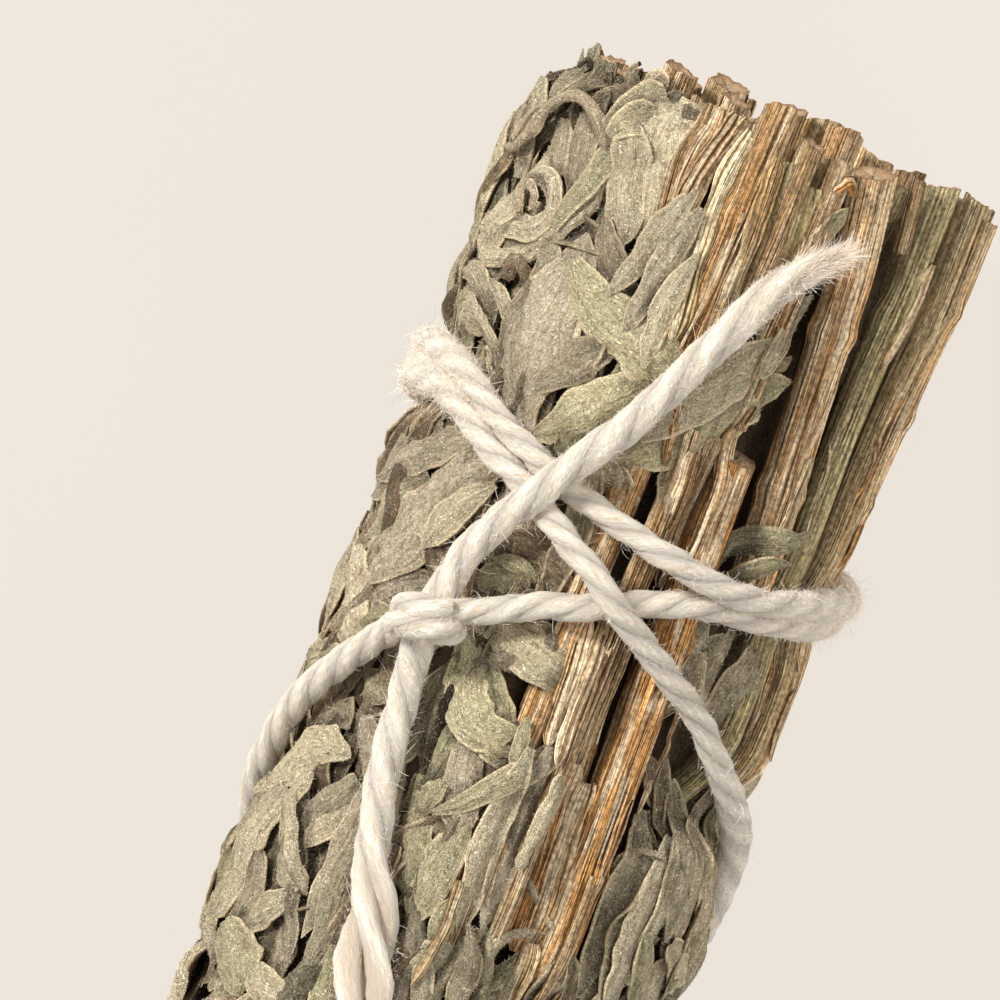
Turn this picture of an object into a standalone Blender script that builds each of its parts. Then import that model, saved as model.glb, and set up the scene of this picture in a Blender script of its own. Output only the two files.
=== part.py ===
"""A smudge stick lying on its side: dried sage sprigs, bound crosswise with one length of cotton twine.

The bundle's axis runs along X, with the cut stems at +X and the leafy tips at -X. Places on it are given as
(d, angle, r): d is the distance in mm from the cut end, the angle is in degrees round the axis, 0 on top and
90 on the -Y side, and r is the distance in mm from the axis.
"""

import math
import random

import bmesh
import bpy
import numpy as np
from mathutils import Matrix, Vector

MM = 0.001
LENGTH = 105.0
HALF_LENGTH = LENGTH / 2
RADIUS = 16.2

TWINE_RADIUS = 1.15
TWINE_BED = 16.15
TWINE_FLAT = 0.25
TWINE_SPACING = 4.2
GAP = 0.4
TIP_GAP = 0.3
KNOT_AT = (38.6, -30.8, 1.9)
KNOT_RING = 2.05

PRESS = 2.0
AXIS_HEIGHT = TWINE_BED - PRESS + TWINE_RADIUS - TWINE_FLAT

MAT_INNER = 9.8
MAT_OUTER = 13.4
BARE_OUTER = 11.2
CUT_STEM_BED = 11.8
BARE_STEM_FLOOR = 11.7
OVER_STEMS = 15.7
TAPER_START = 84.0
TAPER_LENGTH = 23.0
FLARE = 0.12
FLARE_LENGTH = 22.0
FLARE_SIDE = 65.0

LEAF_THICKNESS = 0.7
LEAF_ARCH = 0.35

LEAF_COLOUR = (0.42, 0.43, 0.33)
STEM_COLOUR = (0.36, 0.27, 0.17)
TWINE_COLOUR = (0.86, 0.79, 0.68)


def clear_scene():
    for obj in list(bpy.data.objects):
        bpy.data.objects.remove(obj)


def material(name, colour, roughness):
    made = bpy.data.materials.new(name)
    made.use_nodes = True
    shader = made.node_tree.nodes["Principled BSDF"]
    shader.inputs["Base Color"].default_value = (*colour, 1.0)
    shader.inputs["Roughness"].default_value = roughness
    shader.inputs["Metallic"].default_value = 0.0
    return made


# The bundle's form

def taper(d):
    """How far the bundle has narrowed towards its leafy tips, 1 along most of it."""
    t = np.clip((np.asarray(d, float) - TAPER_START) / TAPER_LENGTH, 0.0, 0.985)
    return np.sqrt(1.0 - t * t)


def flare(d, angle):
    """The cut stems lean outwards, most of all on the side where they lie bare."""
    t = np.clip(1.0 - np.asarray(d, float) / FLARE_LENGTH, 0.0, 1.2)
    side = 0.5 + 0.5 * np.cos(np.radians(np.asarray(angle, float) - FLARE_SIDE))
    return 1.0 + FLARE * t * t * (0.3 + 0.7 * side) * side


def press(r):
    """How much the bundle's own weight flattens a layer on its underside."""
    return PRESS * np.clip((np.asarray(r, float) - MAT_INNER) / (13.0 - MAT_INNER), 0.0, 1.0)


def place(d, angle, r):
    """The point in metres at d, angle and r, with the underside pressed flat."""
    a = math.radians(angle)
    z = r * math.cos(a)
    z = max(z, -(r - float(press(r))))
    return Vector(((HALF_LENGTH - d) * MM, -r * math.sin(a) * MM, (AXIS_HEIGHT + z) * MM))


# The twine's route, as (d, angle, height above its bed). One length runs from the frayed end round the tips
# and back to the knot, and the other from the knot to the end tucked in underneath

FRAYED_END_TO_KNOT = [
    (4.7, 28.5, 1.6), (6.4, 21.2, 1.5), (9.1, 14.4, 1.5), (12.1, 9.4, 1.5), (15.6, 4.2, 1.5),
    (18.9, -0.8, 1.5), (22.0, -6.1, 1.6), (24.9, -12.0, 1.9), (27.8, -17.6, 2.0), (30.6, -23.8, 1.6),
    (33.7, -29.3, 1.2), (36.6, -30.9, 1.5), (38.6, -30.8, 1.9), (40.8, -32.6, 1.0),
]
KNOT_TO_TIPS = [
    (44.4, -32.4, 0.2), (48.6, -30.9, 0.1), (52.2, -28.0, 0), (55.1, -24.7, 0), (57.6, -20.9, 0),
    (60.2, -17.8, 0), (62.9, -15.4, 0), (67, -11, 0), (73, 0, 0), (80, 22, 0),
    (86.5, 55, 0), (91, 95, 0), (94, 140, 0), (96, 185, 0), (97, 235, 0), (97, 285, 0), (95.8, 330, 0),
]
TIPS_BACK_TO_KNOT = [
    (93.5, 375, 0.1), (90.8, 410, 1.2), (88.8, 431, 2.6), (86.5, 447, 1.6), (83.2, 465, 0.1),
    (77, 505, 0), (69.5, 545, 0), (62, 585, 0), (57.0, 612, 0), (53.2, 628, 0), (50.2, 638, 0),
    (47.2, 648.3, 0), (44.0, 662.1, 0), (41.1, 675.1, 0.6), (39.6, 682.5, 1.7), (39.0, 687, 1.9),
]
KNOT_TO_RIGHT_EDGE = [
    (38.0, -29, 1.9), (37.0, -23.4, 1.2), (36.2, -17.5, 0.3), (34.9, -9.1, 0), (34.0, 0, 0),
    (33.4, 5.3, 0), (32.4, 13.2, 0), (31.4, 22.4, 0), (30.8, 33.2, 0), (30.6, 46.2, 0), (30.1, 62.9, 0),
    (29.5, 80, 0), (29.2, 95, 0), (28.6, 112, 0), (27.2, 130, 0), (25.4, 150, 0), (24.1, 175, 0), (23.2, 210, 0),
    (22.3, 250, 0),
]
FIRST_FRONT_PASS = [
    (21.9, 270, 0), (21.7, 284, 0), (21.8, 293, 0), (22.3, 305.5, 0), (23.3, 314.3, 0), (24.3, 322, 0),
    (25.1, 329.6, 0), (25.8, 336.5, 0), (26.6, 344.1, 0), (27.3, 353.5, 0), (28.1, 364.4, 0.2),
    (28.7, 374.8, 1.0), (29.3, 385.9, 1.15), (29.4, 397.6, 1.1), (29.0, 409.8, 0.9), (28.5, 424, 0.5),
    (28.2, 438, 0.4), (27.9, 452, 0.7),
]
ROUND_THE_BACK = [
    (27.6, 465, 0.9), (27.4, 477, 1.6), (27.2, 489, 2.5), (27.2, 500, 1.7), (27.1, 513, 0.3), (26.9, 530, 0),
    (26.4, 570, 0), (25.2, 610, 0),
]
SECOND_FRONT_PASS = [
    (24.4, 630, 0), (24.0, 645, 0), (23.9, 655, 0), (24.0, 662.7, 0), (24.8, 671.3, 0),
    (25.8, 678.9, 0), (26.7, 685.6, 0), (27.3, 692.1, 0), (28.0, 698.0, 0.1), (28.9, 704.3, 0.8),
    (30.3, 713.4, 1.8), (31.4, 720, 2.4), (33.0, 726.6, 2.4), (34.5, 735, 1.4), (36.4, 746.7, 0.4),
    (38.2, 758.8, 0), (40.6, 770.2, 0), (43.3, 785.0, 0), (45.7, 799, 0), (48.1, 807, 0), (50.8, 813.5, 0),
]
TO_TUCKED_END = [
    (53.2, 821, 0), (55.0, 832, 0), (56.4, 850, 0), (57.4, 875, 0), (58.2, 900, 0), (58.8, 918, 0), (59.2, 930, 0),
]
ROUTES = (
    FRAYED_END_TO_KNOT + KNOT_TO_TIPS + TIPS_BACK_TO_KNOT,
    KNOT_TO_RIGHT_EDGE + FIRST_FRONT_PASS + ROUND_THE_BACK + SECOND_FRONT_PASS + TO_TUCKED_END,
)
UNDER_KNOT = [(KNOT_AT[0] + d, KNOT_AT[1] + a, -0.3) for d in (-1.2, 0, 1.2) for a in (-7, 0, 7)]


def smooth_route(route, steps):
    """Points on a Catmull-Rom curve through the route, as an array of (d, angle, height) rows."""
    points = np.array([route[0]] + list(route) + [route[-1]], float)
    found = []
    for i in range(1, len(points) - 2):
        p0, p1, p2, p3 = points[i - 1 : i + 3]
        for step in range(steps):
            t = step / steps
            found.append(
                0.5 * (2 * p1 + (p2 - p0) * t + (2 * p0 - 5 * p1 + 4 * p2 - p3) * t**2
                       + (3 * p1 - p0 - 3 * p2 + p3) * t**3)
            )
    found.append(points[-2])
    return np.array(found)


def twine_radius_at(d, height):
    """The twine's distance from the axis: its bed, narrowed with the bundle, and its height above it."""
    return TWINE_BED * taper(d) + height


TWINE_SAMPLES = np.concatenate([smooth_route(route, 5) for route in ROUTES] + [np.array(UNDER_KNOT)])


def ceiling(d, angle):
    """The greatest r that a leaf may reach at d and angle: the bundle's own form, lower beside the twine."""
    across = (TWINE_SAMPLES[:, 1] - angle + 180.0) % 360.0 - 180.0
    away = np.hypot(TWINE_SAMPLES[:, 0] - d, np.radians(across) * 15.0)
    gap = GAP + TIP_GAP * (d > TAPER_START)
    under = twine_radius_at(TWINE_SAMPLES[:, 0], TWINE_SAMPLES[:, 2]) - TWINE_RADIUS - gap
    rise = np.maximum(0.0, away - 1.9) * 0.6
    return float(min(RADIUS * taper(d) * flare(d, angle), (under + rise).min()))


# Building blocks

def collection(name, parent):
    made = bpy.data.collections.new(name)
    parent.children.link(made)
    return made


def rod(name, points, radii, into, sides_resolution=1):
    """A round stick or string through the points, as a mesh with welded caps."""
    curve = bpy.data.curves.new(name, "CURVE")
    curve.dimensions = "3D"
    curve.bevel_depth = 1.0
    curve.bevel_resolution = sides_resolution
    curve.use_fill_caps = True
    spline = curve.splines.new("POLY")
    spline.points.add(len(points) - 1)
    for point, place_at, radius in zip(spline.points, points, radii):
        point.co = (*place_at, 1.0)
        point.radius = radius * MM
    obj = bpy.data.objects.new(name + "_curve", curve)
    into.objects.link(obj)
    bpy.context.view_layer.update()
    graph = bpy.context.evaluated_depsgraph_get()
    mesh = bpy.data.meshes.new_from_object(obj.evaluated_get(graph))
    made = bpy.data.objects.new(name, mesh)
    made.matrix_world = obj.matrix_world
    into.objects.link(made)
    bpy.data.objects.remove(obj)
    bm = bmesh.new()
    bm.from_mesh(mesh)
    bmesh.ops.remove_doubles(bm, verts=bm.verts, dist=0.00002)
    bmesh.ops.recalc_face_normals(bm, faces=bm.faces)
    bm.to_mesh(mesh)
    bm.free()
    return made


def mat_block(name, lo, hi, leafy_from, into):
    """The packed inside of a sprig between two angles, thicker from leafy_from on, where leaves cover it."""
    along = [BLOCK_START] + ([leafy_from, leafy_from + 1.5] if leafy_from > 5 else [])
    along += [d for d in (30.0, 58.0, 84.0, 91.0, 97.0, 101.0) if d > leafy_from + 6] + [BLOCK_END]
    angles = np.linspace(lo, hi, max(3, round((hi - lo) / 20) + 1))
    bm = bmesh.new()
    rings = []
    for d in along:
        narrow = float(taper(d))
        outer = MAT_OUTER if d > leafy_from else BARE_OUTER
        inner_row = [bm.verts.new(place(d, a, MAT_INNER * narrow * float(flare(d, a)))) for a in angles]
        outer_row = [bm.verts.new(place(d, a, outer * narrow * float(flare(d, a)))) for a in angles]
        rings.append(inner_row + outer_row[::-1])
    for ring, following in zip(rings, rings[1:]):
        for i in range(len(ring)):
            j = (i + 1) % len(ring)
            bm.faces.new((ring[i], ring[j], following[j], following[i]))
    last = len(angles)
    for ring in (rings[0], rings[-1]):
        for i in range(last - 1):
            bm.faces.new((ring[i], ring[i + 1], ring[2 * last - 2 - i], ring[2 * last - 1 - i]))
    bmesh.ops.recalc_face_normals(bm, faces=bm.faces)
    bmesh.ops.triangulate(bm, faces=bm.faces)
    return mesh_object(name, bm, into)


def mesh_object(name, bm, into):
    mesh = bpy.data.meshes.new(name)
    bm.to_mesh(mesh)
    bm.free()
    made = bpy.data.objects.new(name, mesh)
    into.objects.link(made)
    return made


# How wide a blade is in each of its cross rows, from root to tip, as (share of its length, share of its width)
SHORT_ROWS = ((0.0, 0.0), (0.52, 1.0), (1.0, 0.0))
LONG_ROWS = ((0.0, 0.0), (0.3, 0.9), (0.7, 1.0), (1.0, 0.0))
TOOTHED_ROWS = ((0.0, 0.0), (0.86, 1.0))
TOOTH_DEPTH = 0.16
LONG_FROM = 9.5


def leaf_outline(root, tip, width, bow, toothed):
    """The rows of a blade's points as (d, angle), and how far along the blade each row lies."""
    mm_per_degree = math.radians(15.0)
    run = Vector((tip[0] - root[0], (tip[1] - root[1]) * mm_per_degree))
    side = Vector((-run.y, run.x)).normalized()
    rows = TOOTHED_ROWS if toothed else LONG_ROWS if run.length > LONG_FROM else SHORT_ROWS
    columns = 5 if toothed else 3
    points = []
    for t, share in rows:
        for column in range(columns):
            across = column / (columns - 1) - 0.5
            tooth = 0.0
            if toothed and t > 0:
                tooth = (-TOOTH_DEPTH * (column % 2) + TOOTH_DEPTH * 0.8 * (column == 2)) * run.length
            offset = side * (across * width * share + bow * 4 * t * (1 - t))
            along = run * t + run.normalized() * tooth
            points.append((root[0] + along.x + offset.x, root[1] + (along.y + offset.y) / mm_per_degree))
    return points, rows, columns


def leaf(name, root, tip, width, layer, bow, limits, bare_from, into, toothed=False):
    """One blade pressed on the bundle, from its root to its tip, both as (d, angle).

    layer runs from 0, deep in the mat, to 1, on top of it. bow bends the blade sideways, in mm. limits are
    the angles that it may not pass, and past bare_from it clears the bare stems.
    """
    points, rows, columns = leaf_outline(root, tip, width, bow, toothed)
    bm = bmesh.new()
    bmesh.ops.create_grid(bm, x_segments=columns - 1, y_segments=len(rows) - 1, size=0.5)
    order = sorted(bm.verts, key=lambda v: (round(v.co.y, 4), round(v.co.x, 4)))
    for number, vert in enumerate(order):
        row, column = divmod(number, columns)
        d, angle = points[number]
        angle = kept_between(angle, *limits)
        middle_d, middle_angle = points[row * columns + columns // 2]
        limit = min(ceiling(d, angle), ceiling((d + middle_d) / 2, (angle + middle_angle) / 2)) - 0.12
        t, share = rows[row]
        rise = min(1.0, t * 2.2)
        edge = share > 0 and column != columns // 2
        wanted = MAT_OUTER - 1.0 * (t == 0) + (0.2 + 0.8 * rise) * layer * (RADIUS - MAT_OUTER)
        wanted = wanted * float(taper(d)) - LEAF_ARCH * edge
        wanted += 0.1 * math.sin(1.7 * d + 0.9 * angle + 2.3 * (column if share > 0 else 0))
        if angle > bare_from:
            wanted = max(wanted, OVER_STEMS)
        vert.co = place(d, angle, min(wanted, limit))
    bmesh.ops.remove_doubles(bm, verts=bm.verts, dist=0.0001)
    bmesh.ops.triangulate(bm, faces=bm.faces)
    bmesh.ops.recalc_face_normals(bm, faces=bm.faces)
    middle = sum((v.co for v in bm.verts), Vector()) / len(bm.verts)
    outward = Vector((0.0, middle.y, middle.z - AXIS_HEIGHT * MM))
    if sum((f.normal * f.calc_area() for f in bm.faces), Vector()).dot(outward) < 0:
        bmesh.ops.reverse_faces(bm, faces=bm.faces)
    made = mesh_object(name, bm, into)
    thick = made.modifiers.new("Solidify", "SOLIDIFY")
    thick.thickness = LEAF_THICKNESS * MM
    thick.offset = -1.0


def kept_between(angle, lo, hi):
    """Bends an angle that nears lo or hi clear of it, so that a blade stays on its own sprig."""
    middle, half = (lo + hi) / 2, (hi - lo) / 2
    share = (angle - middle) / half
    soft = 0.82
    if abs(share) > soft:
        extra = (abs(share) - soft) / (1 - soft)
        share = math.copysign(soft + (1 - soft) * math.tanh(extra), share)
    return middle + share * half


def fuse(base, extras, solver="MANIFOLD"):
    """Joins everything in the collection extras to base, and removes the collection."""
    union = base.modifiers.new("Union", "BOOLEAN")
    union.operation = "UNION"
    union.operand_type = "COLLECTION"
    union.collection = extras
    union.solver = solver
    bpy.context.view_layer.update()
    graph = bpy.context.evaluated_depsgraph_get()
    mesh = bpy.data.meshes.new_from_object(base.evaluated_get(graph))
    base.modifiers.clear()
    base.data = mesh
    for obj in list(extras.objects):
        bpy.data.objects.remove(obj)
    bpy.data.collections.remove(extras)
    drop_scraps(mesh)


def drop_scraps(mesh):
    """Keeps only the largest body of a joined mesh, so that loose scraps and closed hollows go."""
    bm = bmesh.new()
    bm.from_mesh(mesh)
    bmesh.ops.triangulate(bm, faces=bm.faces)
    left = set(bm.faces)
    bodies = []
    while left:
        first = left.pop()
        body, front = [first], [first]
        while front:
            for edge in front.pop().edges:
                for other in edge.link_faces:
                    if other in left:
                        left.discard(other)
                        body.append(other)
                        front.append(other)
        bodies.append(body)
    bodies.sort(key=len)
    scraps = [face for body in bodies[:-1] for face in body]
    bmesh.ops.delete(bm, geom=scraps, context="FACES")
    bm.to_mesh(mesh)
    bm.free()


def finish(obj, look):
    obj.data.materials.clear()
    obj.data.materials.append(look)
    obj.data.shade_smooth()
    obj.data.set_sharp_from_angle(angle=math.radians(35))


# The sprigs and stems

BLOCK_START = 4.0
BLOCK_END = 103.5
EDGE_MARGIN = 0.9
LEAF_MARGIN = 2.6
TIP_MARGIN = 7.0
RULED_END = 95.0
LEAF_SEED = 130


def ruled_leaves(lo, hi, start, count, rng):
    """Roots, tips and widths of the leaves of one sprig: spread evenly along it and turned to either side."""
    found = []
    columns = 2
    rows = math.ceil(count / columns)
    for number in range(count):
        row, column = divmod(number, columns)
        d = start + (RULED_END - start) * (row + rng.uniform(0.2, 0.8)) / rows
        angle = lo + (hi - lo) * (column + rng.uniform(0.25, 0.75)) / columns
        turn = math.radians(rng.choice((-1, 1)) * rng.triangular(5, 70, 25))
        length = rng.uniform(12.0, 18.0)
        tip_angle = angle + math.degrees(length * math.sin(turn) / 15.0)
        tip_angle = min(max(tip_angle, lo + TIP_MARGIN), hi - TIP_MARGIN)
        tip_d = min(d + length * math.cos(turn), LENGTH - 0.8)
        found.append(((d, angle), (tip_d, tip_angle), rng.uniform(3.8, 5.4)))
    return found


# Leaves seen on the upper left side, as (root, tip, width, layer, bow, toothed)
UPPER_LEFT_LEAVES = [
    ((9.0, -72), (1.0, -80), 3.4, 0.5, 0.5, False),
    ((14.0, -82), (5.0, -72), 3.0, 0.6, -0.4, False),
    ((9.0, -52), (0.3, -58), 3.2, 0.5, 0.3, False),
    ((12.8, -74), (11.5, -45), 2.2, 0.9, 1.8, False),
    ((11.8, -46), (4.8, -38), 1.9, 1.0, 1.4, False),
    ((8.2, -66), (2.5, -52), 1.5, 1.0, -1.6, False),
    ((3.6, -45), (5.2, -36), 1.2, 1.0, 0.0, False),
    ((8.6, -58), (11.2, -50), 2.6, 0.9, 0.6, False),
    ((11.0, -47), (1.0, -45), 2.4, 0.35, 0.0, False),
    ((4.2, -35), (-0.6, -34), 3.2, 0.8, 0.0, True),
    ((-0.6, -27), (10.8, -21), 3.9, 0.85, 0.2, False),
    ((12.6, -20), (-0.8, -17), 1.6, 0.45, 0.0, False),
    ((14.5, -5), (-1.2, -8.5), 1.9, 0.4, 0.0, False),
    ((13.0, -18), (4.5, -12), 2.6, 0.6, 0.0, False),
    ((26.5, -34), (9.0, -33), 5.6, 0.75, -0.6, False),
    ((12.5, -33), (19.2, 4), 3.8, 0.95, 0.4, False),
    ((24.8, -27), (15.2, 31), 4.8, 1.0, -0.7, False),
    ((21.5, -24), (17.0, 22), 3.6, 0.9, 0.9, False),
    ((17.0, -61), (21.6, -44), 1.5, 0.8, 0.0, False),
    ((19.0, -78), (16.5, -58), 2.4, 0.6, 0.4, False),
    ((22.5, -66), (17.6, -50), 2.8, 0.5, 0.0, False),
    ((25.4, -47), (32.6, -74), 2.9, 0.6, 0.3, False),
    ((26.2, -70), (33.0, -82), 2.6, 0.5, 0.0, False),
    ((26.8, -36), (37.6, -58), 5.2, 0.8, 0.7, False),
    ((30.0, -58), (35.5, -72), 3.4, 0.45, 0.0, False),
    ((37.0, -74), (44.5, -66), 3.0, 0.6, 0.4, False),
    ((36.5, -44), (40.2, -57), 3.2, 0.55, 0.0, False),
    ((34.5, -30), (31.5, -8), 3.0, 0.3, 0.0, False),
    ((38.4, -29), (43.6, -3), 4.4, 0.95, 0.2, True),
    ((38.2, -22), (39.6, 3), 3.2, 0.8, 0.0, False),
    ((42.0, -18), (50.5, -20), 3.2, 0.75, 0.0, False),
    ((50.6, -16), (42.0, 3), 1.8, 0.95, 0.5, False),
    ((44.0, -10), (56.0, -1), 3.0, 0.5, 0.0, False),
    ((53.0, -72), (48.6, -42), 4.4, 0.9, 0.5, False),
    ((53.4, -65), (64.5, -71), 3.4, 0.85, 0.5, False),
    ((57.0, -54), (51.5, -55), 1.8, 0.7, 0.4, False),
    ((50.8, -42), (57.0, -48), 2.8, 0.7, -0.5, False),
    ((57.6, -50), (56.2, -37), 2.3, 0.9, 0.3, False),
    ((57.0, -46), (64.2, -60), 2.6, 0.95, 0.3, False),
    ((58.0, -35), (67.5, -42), 2.8, 0.7, 0.0, False),
    ((50.0, -36), (59.0, -33), 2.6, 0.6, 0.0, False),
    ((58.4, -10), (50.8, -6), 2.7, 0.8, 0.3, False),
    ((60.0, -24), (60.4, 18), 3.6, 1.0, 0.0, False),
    ((62.0, -30), (70.0, -18), 3.0, 0.6, 0.0, False),
    ((64.5, -66), (74.0, -58), 3.4, 0.7, 0.0, False),
    ((66.0, -50), (76.0, -38), 3.4, 0.8, 0.3, False),
    ((62.0, -10), (74.5, -8), 3.2, 0.5, 0.0, False),
]

# Leaves seen on the right side, rooted in the gap past the end of the thick stem
RIGHT_LEAVES = [
    ((40.5, 44), (32.3, 44), 3.6, 0.75, 0.5, False),
    ((39.8, 50), (32.6, 54), 3.4, 0.8, 0.4, False),
    ((47.5, 52), (58.0, 56), 2.4, 0.7, 0.3, False),
    ((47.0, 46), (58.5, 46), 2.6, 0.8, 0.2, False),
    ((48.0, 62), (57.0, 66), 2.8, 0.6, 0.0, False),
]

# Each sprig: name, the angles it lies between, where its leaves start, how many leaves the rule adds, where
# those start, the leaves set by hand, how far leaves may pass its upper angle over bare stems, and the cut
# stems that stand out of it as (angle, radius, start)
SPRIGS = [
    ("leafy_sprig_upper_left", -87, -5, 1.0, 10, 66.0, UPPER_LEFT_LEAVES, 40,
     [(-82, 1.1, 1.0), (-64, 1.2, -0.2), (-47, 1.1, -0.8), (-36, 1.3, -1.9), (-23, 1.0, -0.4),
      (-14.0, 1.1, -1.4)]),
    ("leafy_sprig_top", -5, 40, 62.0, 8, 62.5, [], 0, []),
    ("leafy_sprig_right", 40, 76, 46.0, 10, 58.0, RIGHT_LEAVES, 0, []),
    ("leafy_sprig_lower_right", 76, 113, 46.0, 12, 46.5, [], 0, []),
    ("leafy_sprig_under_right", 113, 150, 30.0, 12, 31.0, [], 0, []),
    ("leafy_sprig_under", 150, 191, 3.0, 16, 4.0, [], 0,
     [(157.0, 1.0, 0.6), (170.0, 1.0, -0.3), (184.0, 1.0, 0.2)]),
    ("leafy_sprig_under_left", 191, 232, 2.0, 16, 2.5, [], 0,
     [(199.0, 1.0, 0.0), (212.0, 1.1, -0.8), (225.0, 1.1, 0.5)]),
    ("leafy_sprig_left", 232, 273, 1.5, 17, 2.0, [], 0,
     [(240.0, 1.2, -0.4), (252.5, 1.2, 0.6), (265.0, 1.1, -0.6)]),
]

# The bare stems on the outside, each as its radius and its (d, angle) points from the cut end
BARE_STEMS = [
    (1.1, [(-2.0, 1.5), (15, 0), (35, -0.5), (60.5, -0.5)]),
    (0.8, [(-0.6, 11.6), (15, 11.2), (35, 11.0), (60.5, 10.8)]),
    (0.85, [(0.0, 20.6), (9, 20.6), (19.0, 20.4)]),
    (1.45, [(21.0, 25.5), (40, 27.8), (60.5, 31.0)]),
    (1.4, [(-0.7, 31.0), (10, 37.5), (25, 45.0), (30.8, 46.5)]),
    (0.5, [(-1.0, 42.3), (4.0, 45.3)]),
    (1.1, [(-1.0, 53.5), (10, 54.5), (25, 57.3), (44.5, 59.0)]),
    (0.95, [(-0.7, 65.5), (10, 67.0), (25, 69.0), (44.5, 70.5)]),
    (1.25, [(0.1, 77.5), (25, 80.0), (44.5, 82.0)]),
    (1.25, [(0.6, 91.0), (25, 93.0), (44.5, 95.0)]),
    (1.1, [(-0.6, 102.5), (25, 104.0), (44.5, 106.5)]),
    (1.15, [(0.4, 116.5), (28.5, 117.5)]),
    (1.2, [(0.3, 127.5), (28.5, 128.5)]),
    (1.1, [(-0.7, 138.5), (28.5, 139.5)]),
]


def make_sprig(spec, number, into, look):
    """One sprig of the coat: its packed inside, cut stems and leaves, fused in one body."""
    name, lo, hi, leafy_from, count, ruled_from, by_hand, over, stems = spec
    rng = random.Random(LEAF_SEED + number)
    base = mat_block(name, lo + EDGE_MARGIN, hi - EDGE_MARGIN, leafy_from, into)
    extras = collection(name + "_pieces", into)
    for i, (angle, radius, start) in enumerate(stems):
        path = [place(d, angle, CUT_STEM_BED * float(flare(d, angle))) for d in (start, 7.5)]
        rod(f"{name}_stem_{i}", path, [radius, radius], extras)
    limits = (lo + LEAF_MARGIN, hi - LEAF_MARGIN)
    wide_limits = (limits[0], hi + over if over else limits[1])
    bare_from = hi - LEAF_MARGIN if over else 1000.0
    for i, (root, tip, width, layer, bow, toothed) in enumerate(by_hand):
        leaf(f"{name}_leaf_{i}", root, tip, width, layer, bow, wide_limits, bare_from, extras, toothed)
    for i, (root, tip, width) in enumerate(ruled_leaves(lo, hi, ruled_from, count, rng)):
        layer = rng.uniform(0.4, 0.95)
        bow = rng.uniform(-0.8, 0.8)
        toothed = rng.random() < 0.2
        leaf(f"{name}_ruled_{i}", root, tip, width, layer, bow, limits, 1000.0, extras, toothed)
    fuse(base, extras)
    finish(base, look)
    return base


def make_bare_stems(into, look):
    """The cut stems that lie bare on the outside of the bundle."""
    for number, (radius, route) in enumerate(BARE_STEMS, 1):
        points = []
        for d, angle in route:
            r = (BARE_STEM_FLOOR + radius) * float(flare(d, angle))
            points.append(place(d, angle, r))
        radii = [radius * (1.0 - 0.03 * i) for i in range(len(route))]
        finish(rod(f"woody_stem_{number:02d}", points, radii, into), look)


def make_core_stems(into, look):
    """The woody stems in the middle of the bundle, in rings round one on the axis."""
    rng = random.Random(7)
    number = 0
    for ring_radius, count, turn in ((0.0, 1, 0.0), (3.75, 6, 12.0), (7.6, 11, 5.0)):
        for i in range(count):
            number += 1
            angle = turn + 360.0 * i / count + rng.uniform(-2.0, 2.0)
            radius = rng.uniform(1.3, 1.65)
            start = rng.uniform(-2.2, 1.4)
            end = rng.uniform(84.0, 89.0)
            points = []
            for d in (start, 22.0, 70.0, end):
                r = ring_radius * float(taper(d)) * float(flare(d, angle))
                points.append(place(d, angle, r))
            radii = [radius, radius * 0.97, radius * 0.92, radius * 0.8]
            finish(rod(f"inner_stem_{number:02d}", points, radii, into), look)


def make_tips(into, look):
    """The leafy ends of the inner stems, closed together at the tip of the bundle."""
    rng = random.Random(31)
    start, end = 90.5, 104.0
    bpy.ops.mesh.primitive_cylinder_add(vertices=10, radius=1.0, depth=1.0)
    base = bpy.context.object
    base.name = "leafy_tips"
    for holder in list(base.users_collection):
        holder.objects.unlink(base)
    into.objects.link(base)
    for vert in base.data.vertices:
        d = start if vert.co.z > 0 else end
        r = 9.1 * float(taper(d))
        angle = math.degrees(math.atan2(vert.co.x, vert.co.y))
        vert.co = place(d, angle, r)
    bm = bmesh.new()
    bm.from_mesh(base.data)
    bmesh.ops.recalc_face_normals(bm, faces=bm.faces)
    bm.to_mesh(base.data)
    bm.free()
    extras = collection("leafy_tips_pieces", into)
    for i in range(14):
        angle = 360.0 * i / 14 + rng.uniform(-6, 6)
        tip_leaf(f"leafy_tips_leaf_{i}", angle, rng, extras)
    fuse(base, extras)
    finish(base, look)


def tip_leaf(name, angle, rng, into):
    """A leaf that stands out of the tip of the bundle, along its axis."""
    root_r, tip_r = rng.uniform(1.2, 3.2), rng.uniform(0.8, 4.0)
    width = rng.uniform(1.8, 2.8)
    bm = bmesh.new()
    bmesh.ops.create_grid(bm, x_segments=2, y_segments=2, size=0.5)
    for vert in bm.verts:
        t = vert.co.y + 0.5
        share = 1.0 - 0.75 * t
        r = root_r + (tip_r - root_r) * t + 0.3 * (abs(vert.co.x) < 0.1)
        turn = math.degrees(vert.co.x * width * share / max(r, 1.5))
        vert.co = place(101.0 + (LENGTH - 101.0) * t, angle + turn, r)
    bmesh.ops.triangulate(bm, faces=bm.faces)
    bmesh.ops.recalc_face_normals(bm, faces=bm.faces)
    mesh = bpy.data.meshes.new(name)
    bm.to_mesh(mesh)
    bm.free()
    made = bpy.data.objects.new(name, mesh)
    into.objects.link(made)
    thick = made.modifiers.new("Solidify", "SOLIDIFY")
    thick.thickness = LEAF_THICKNESS * MM
    thick.offset = 0.0


# The twine

def spaced(points, spacing):
    """The points resampled to lie about spacing apart, in metres."""
    steps = np.linalg.norm(np.diff(points, axis=0), axis=1)
    run = np.concatenate([[0.0], np.cumsum(steps)])
    count = max(2, round(run[-1] / spacing) + 1)
    at = np.linspace(0.0, run[-1], count)
    return np.stack([np.interp(at, run, points[:, axis]) for axis in range(3)], axis=1)


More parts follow.
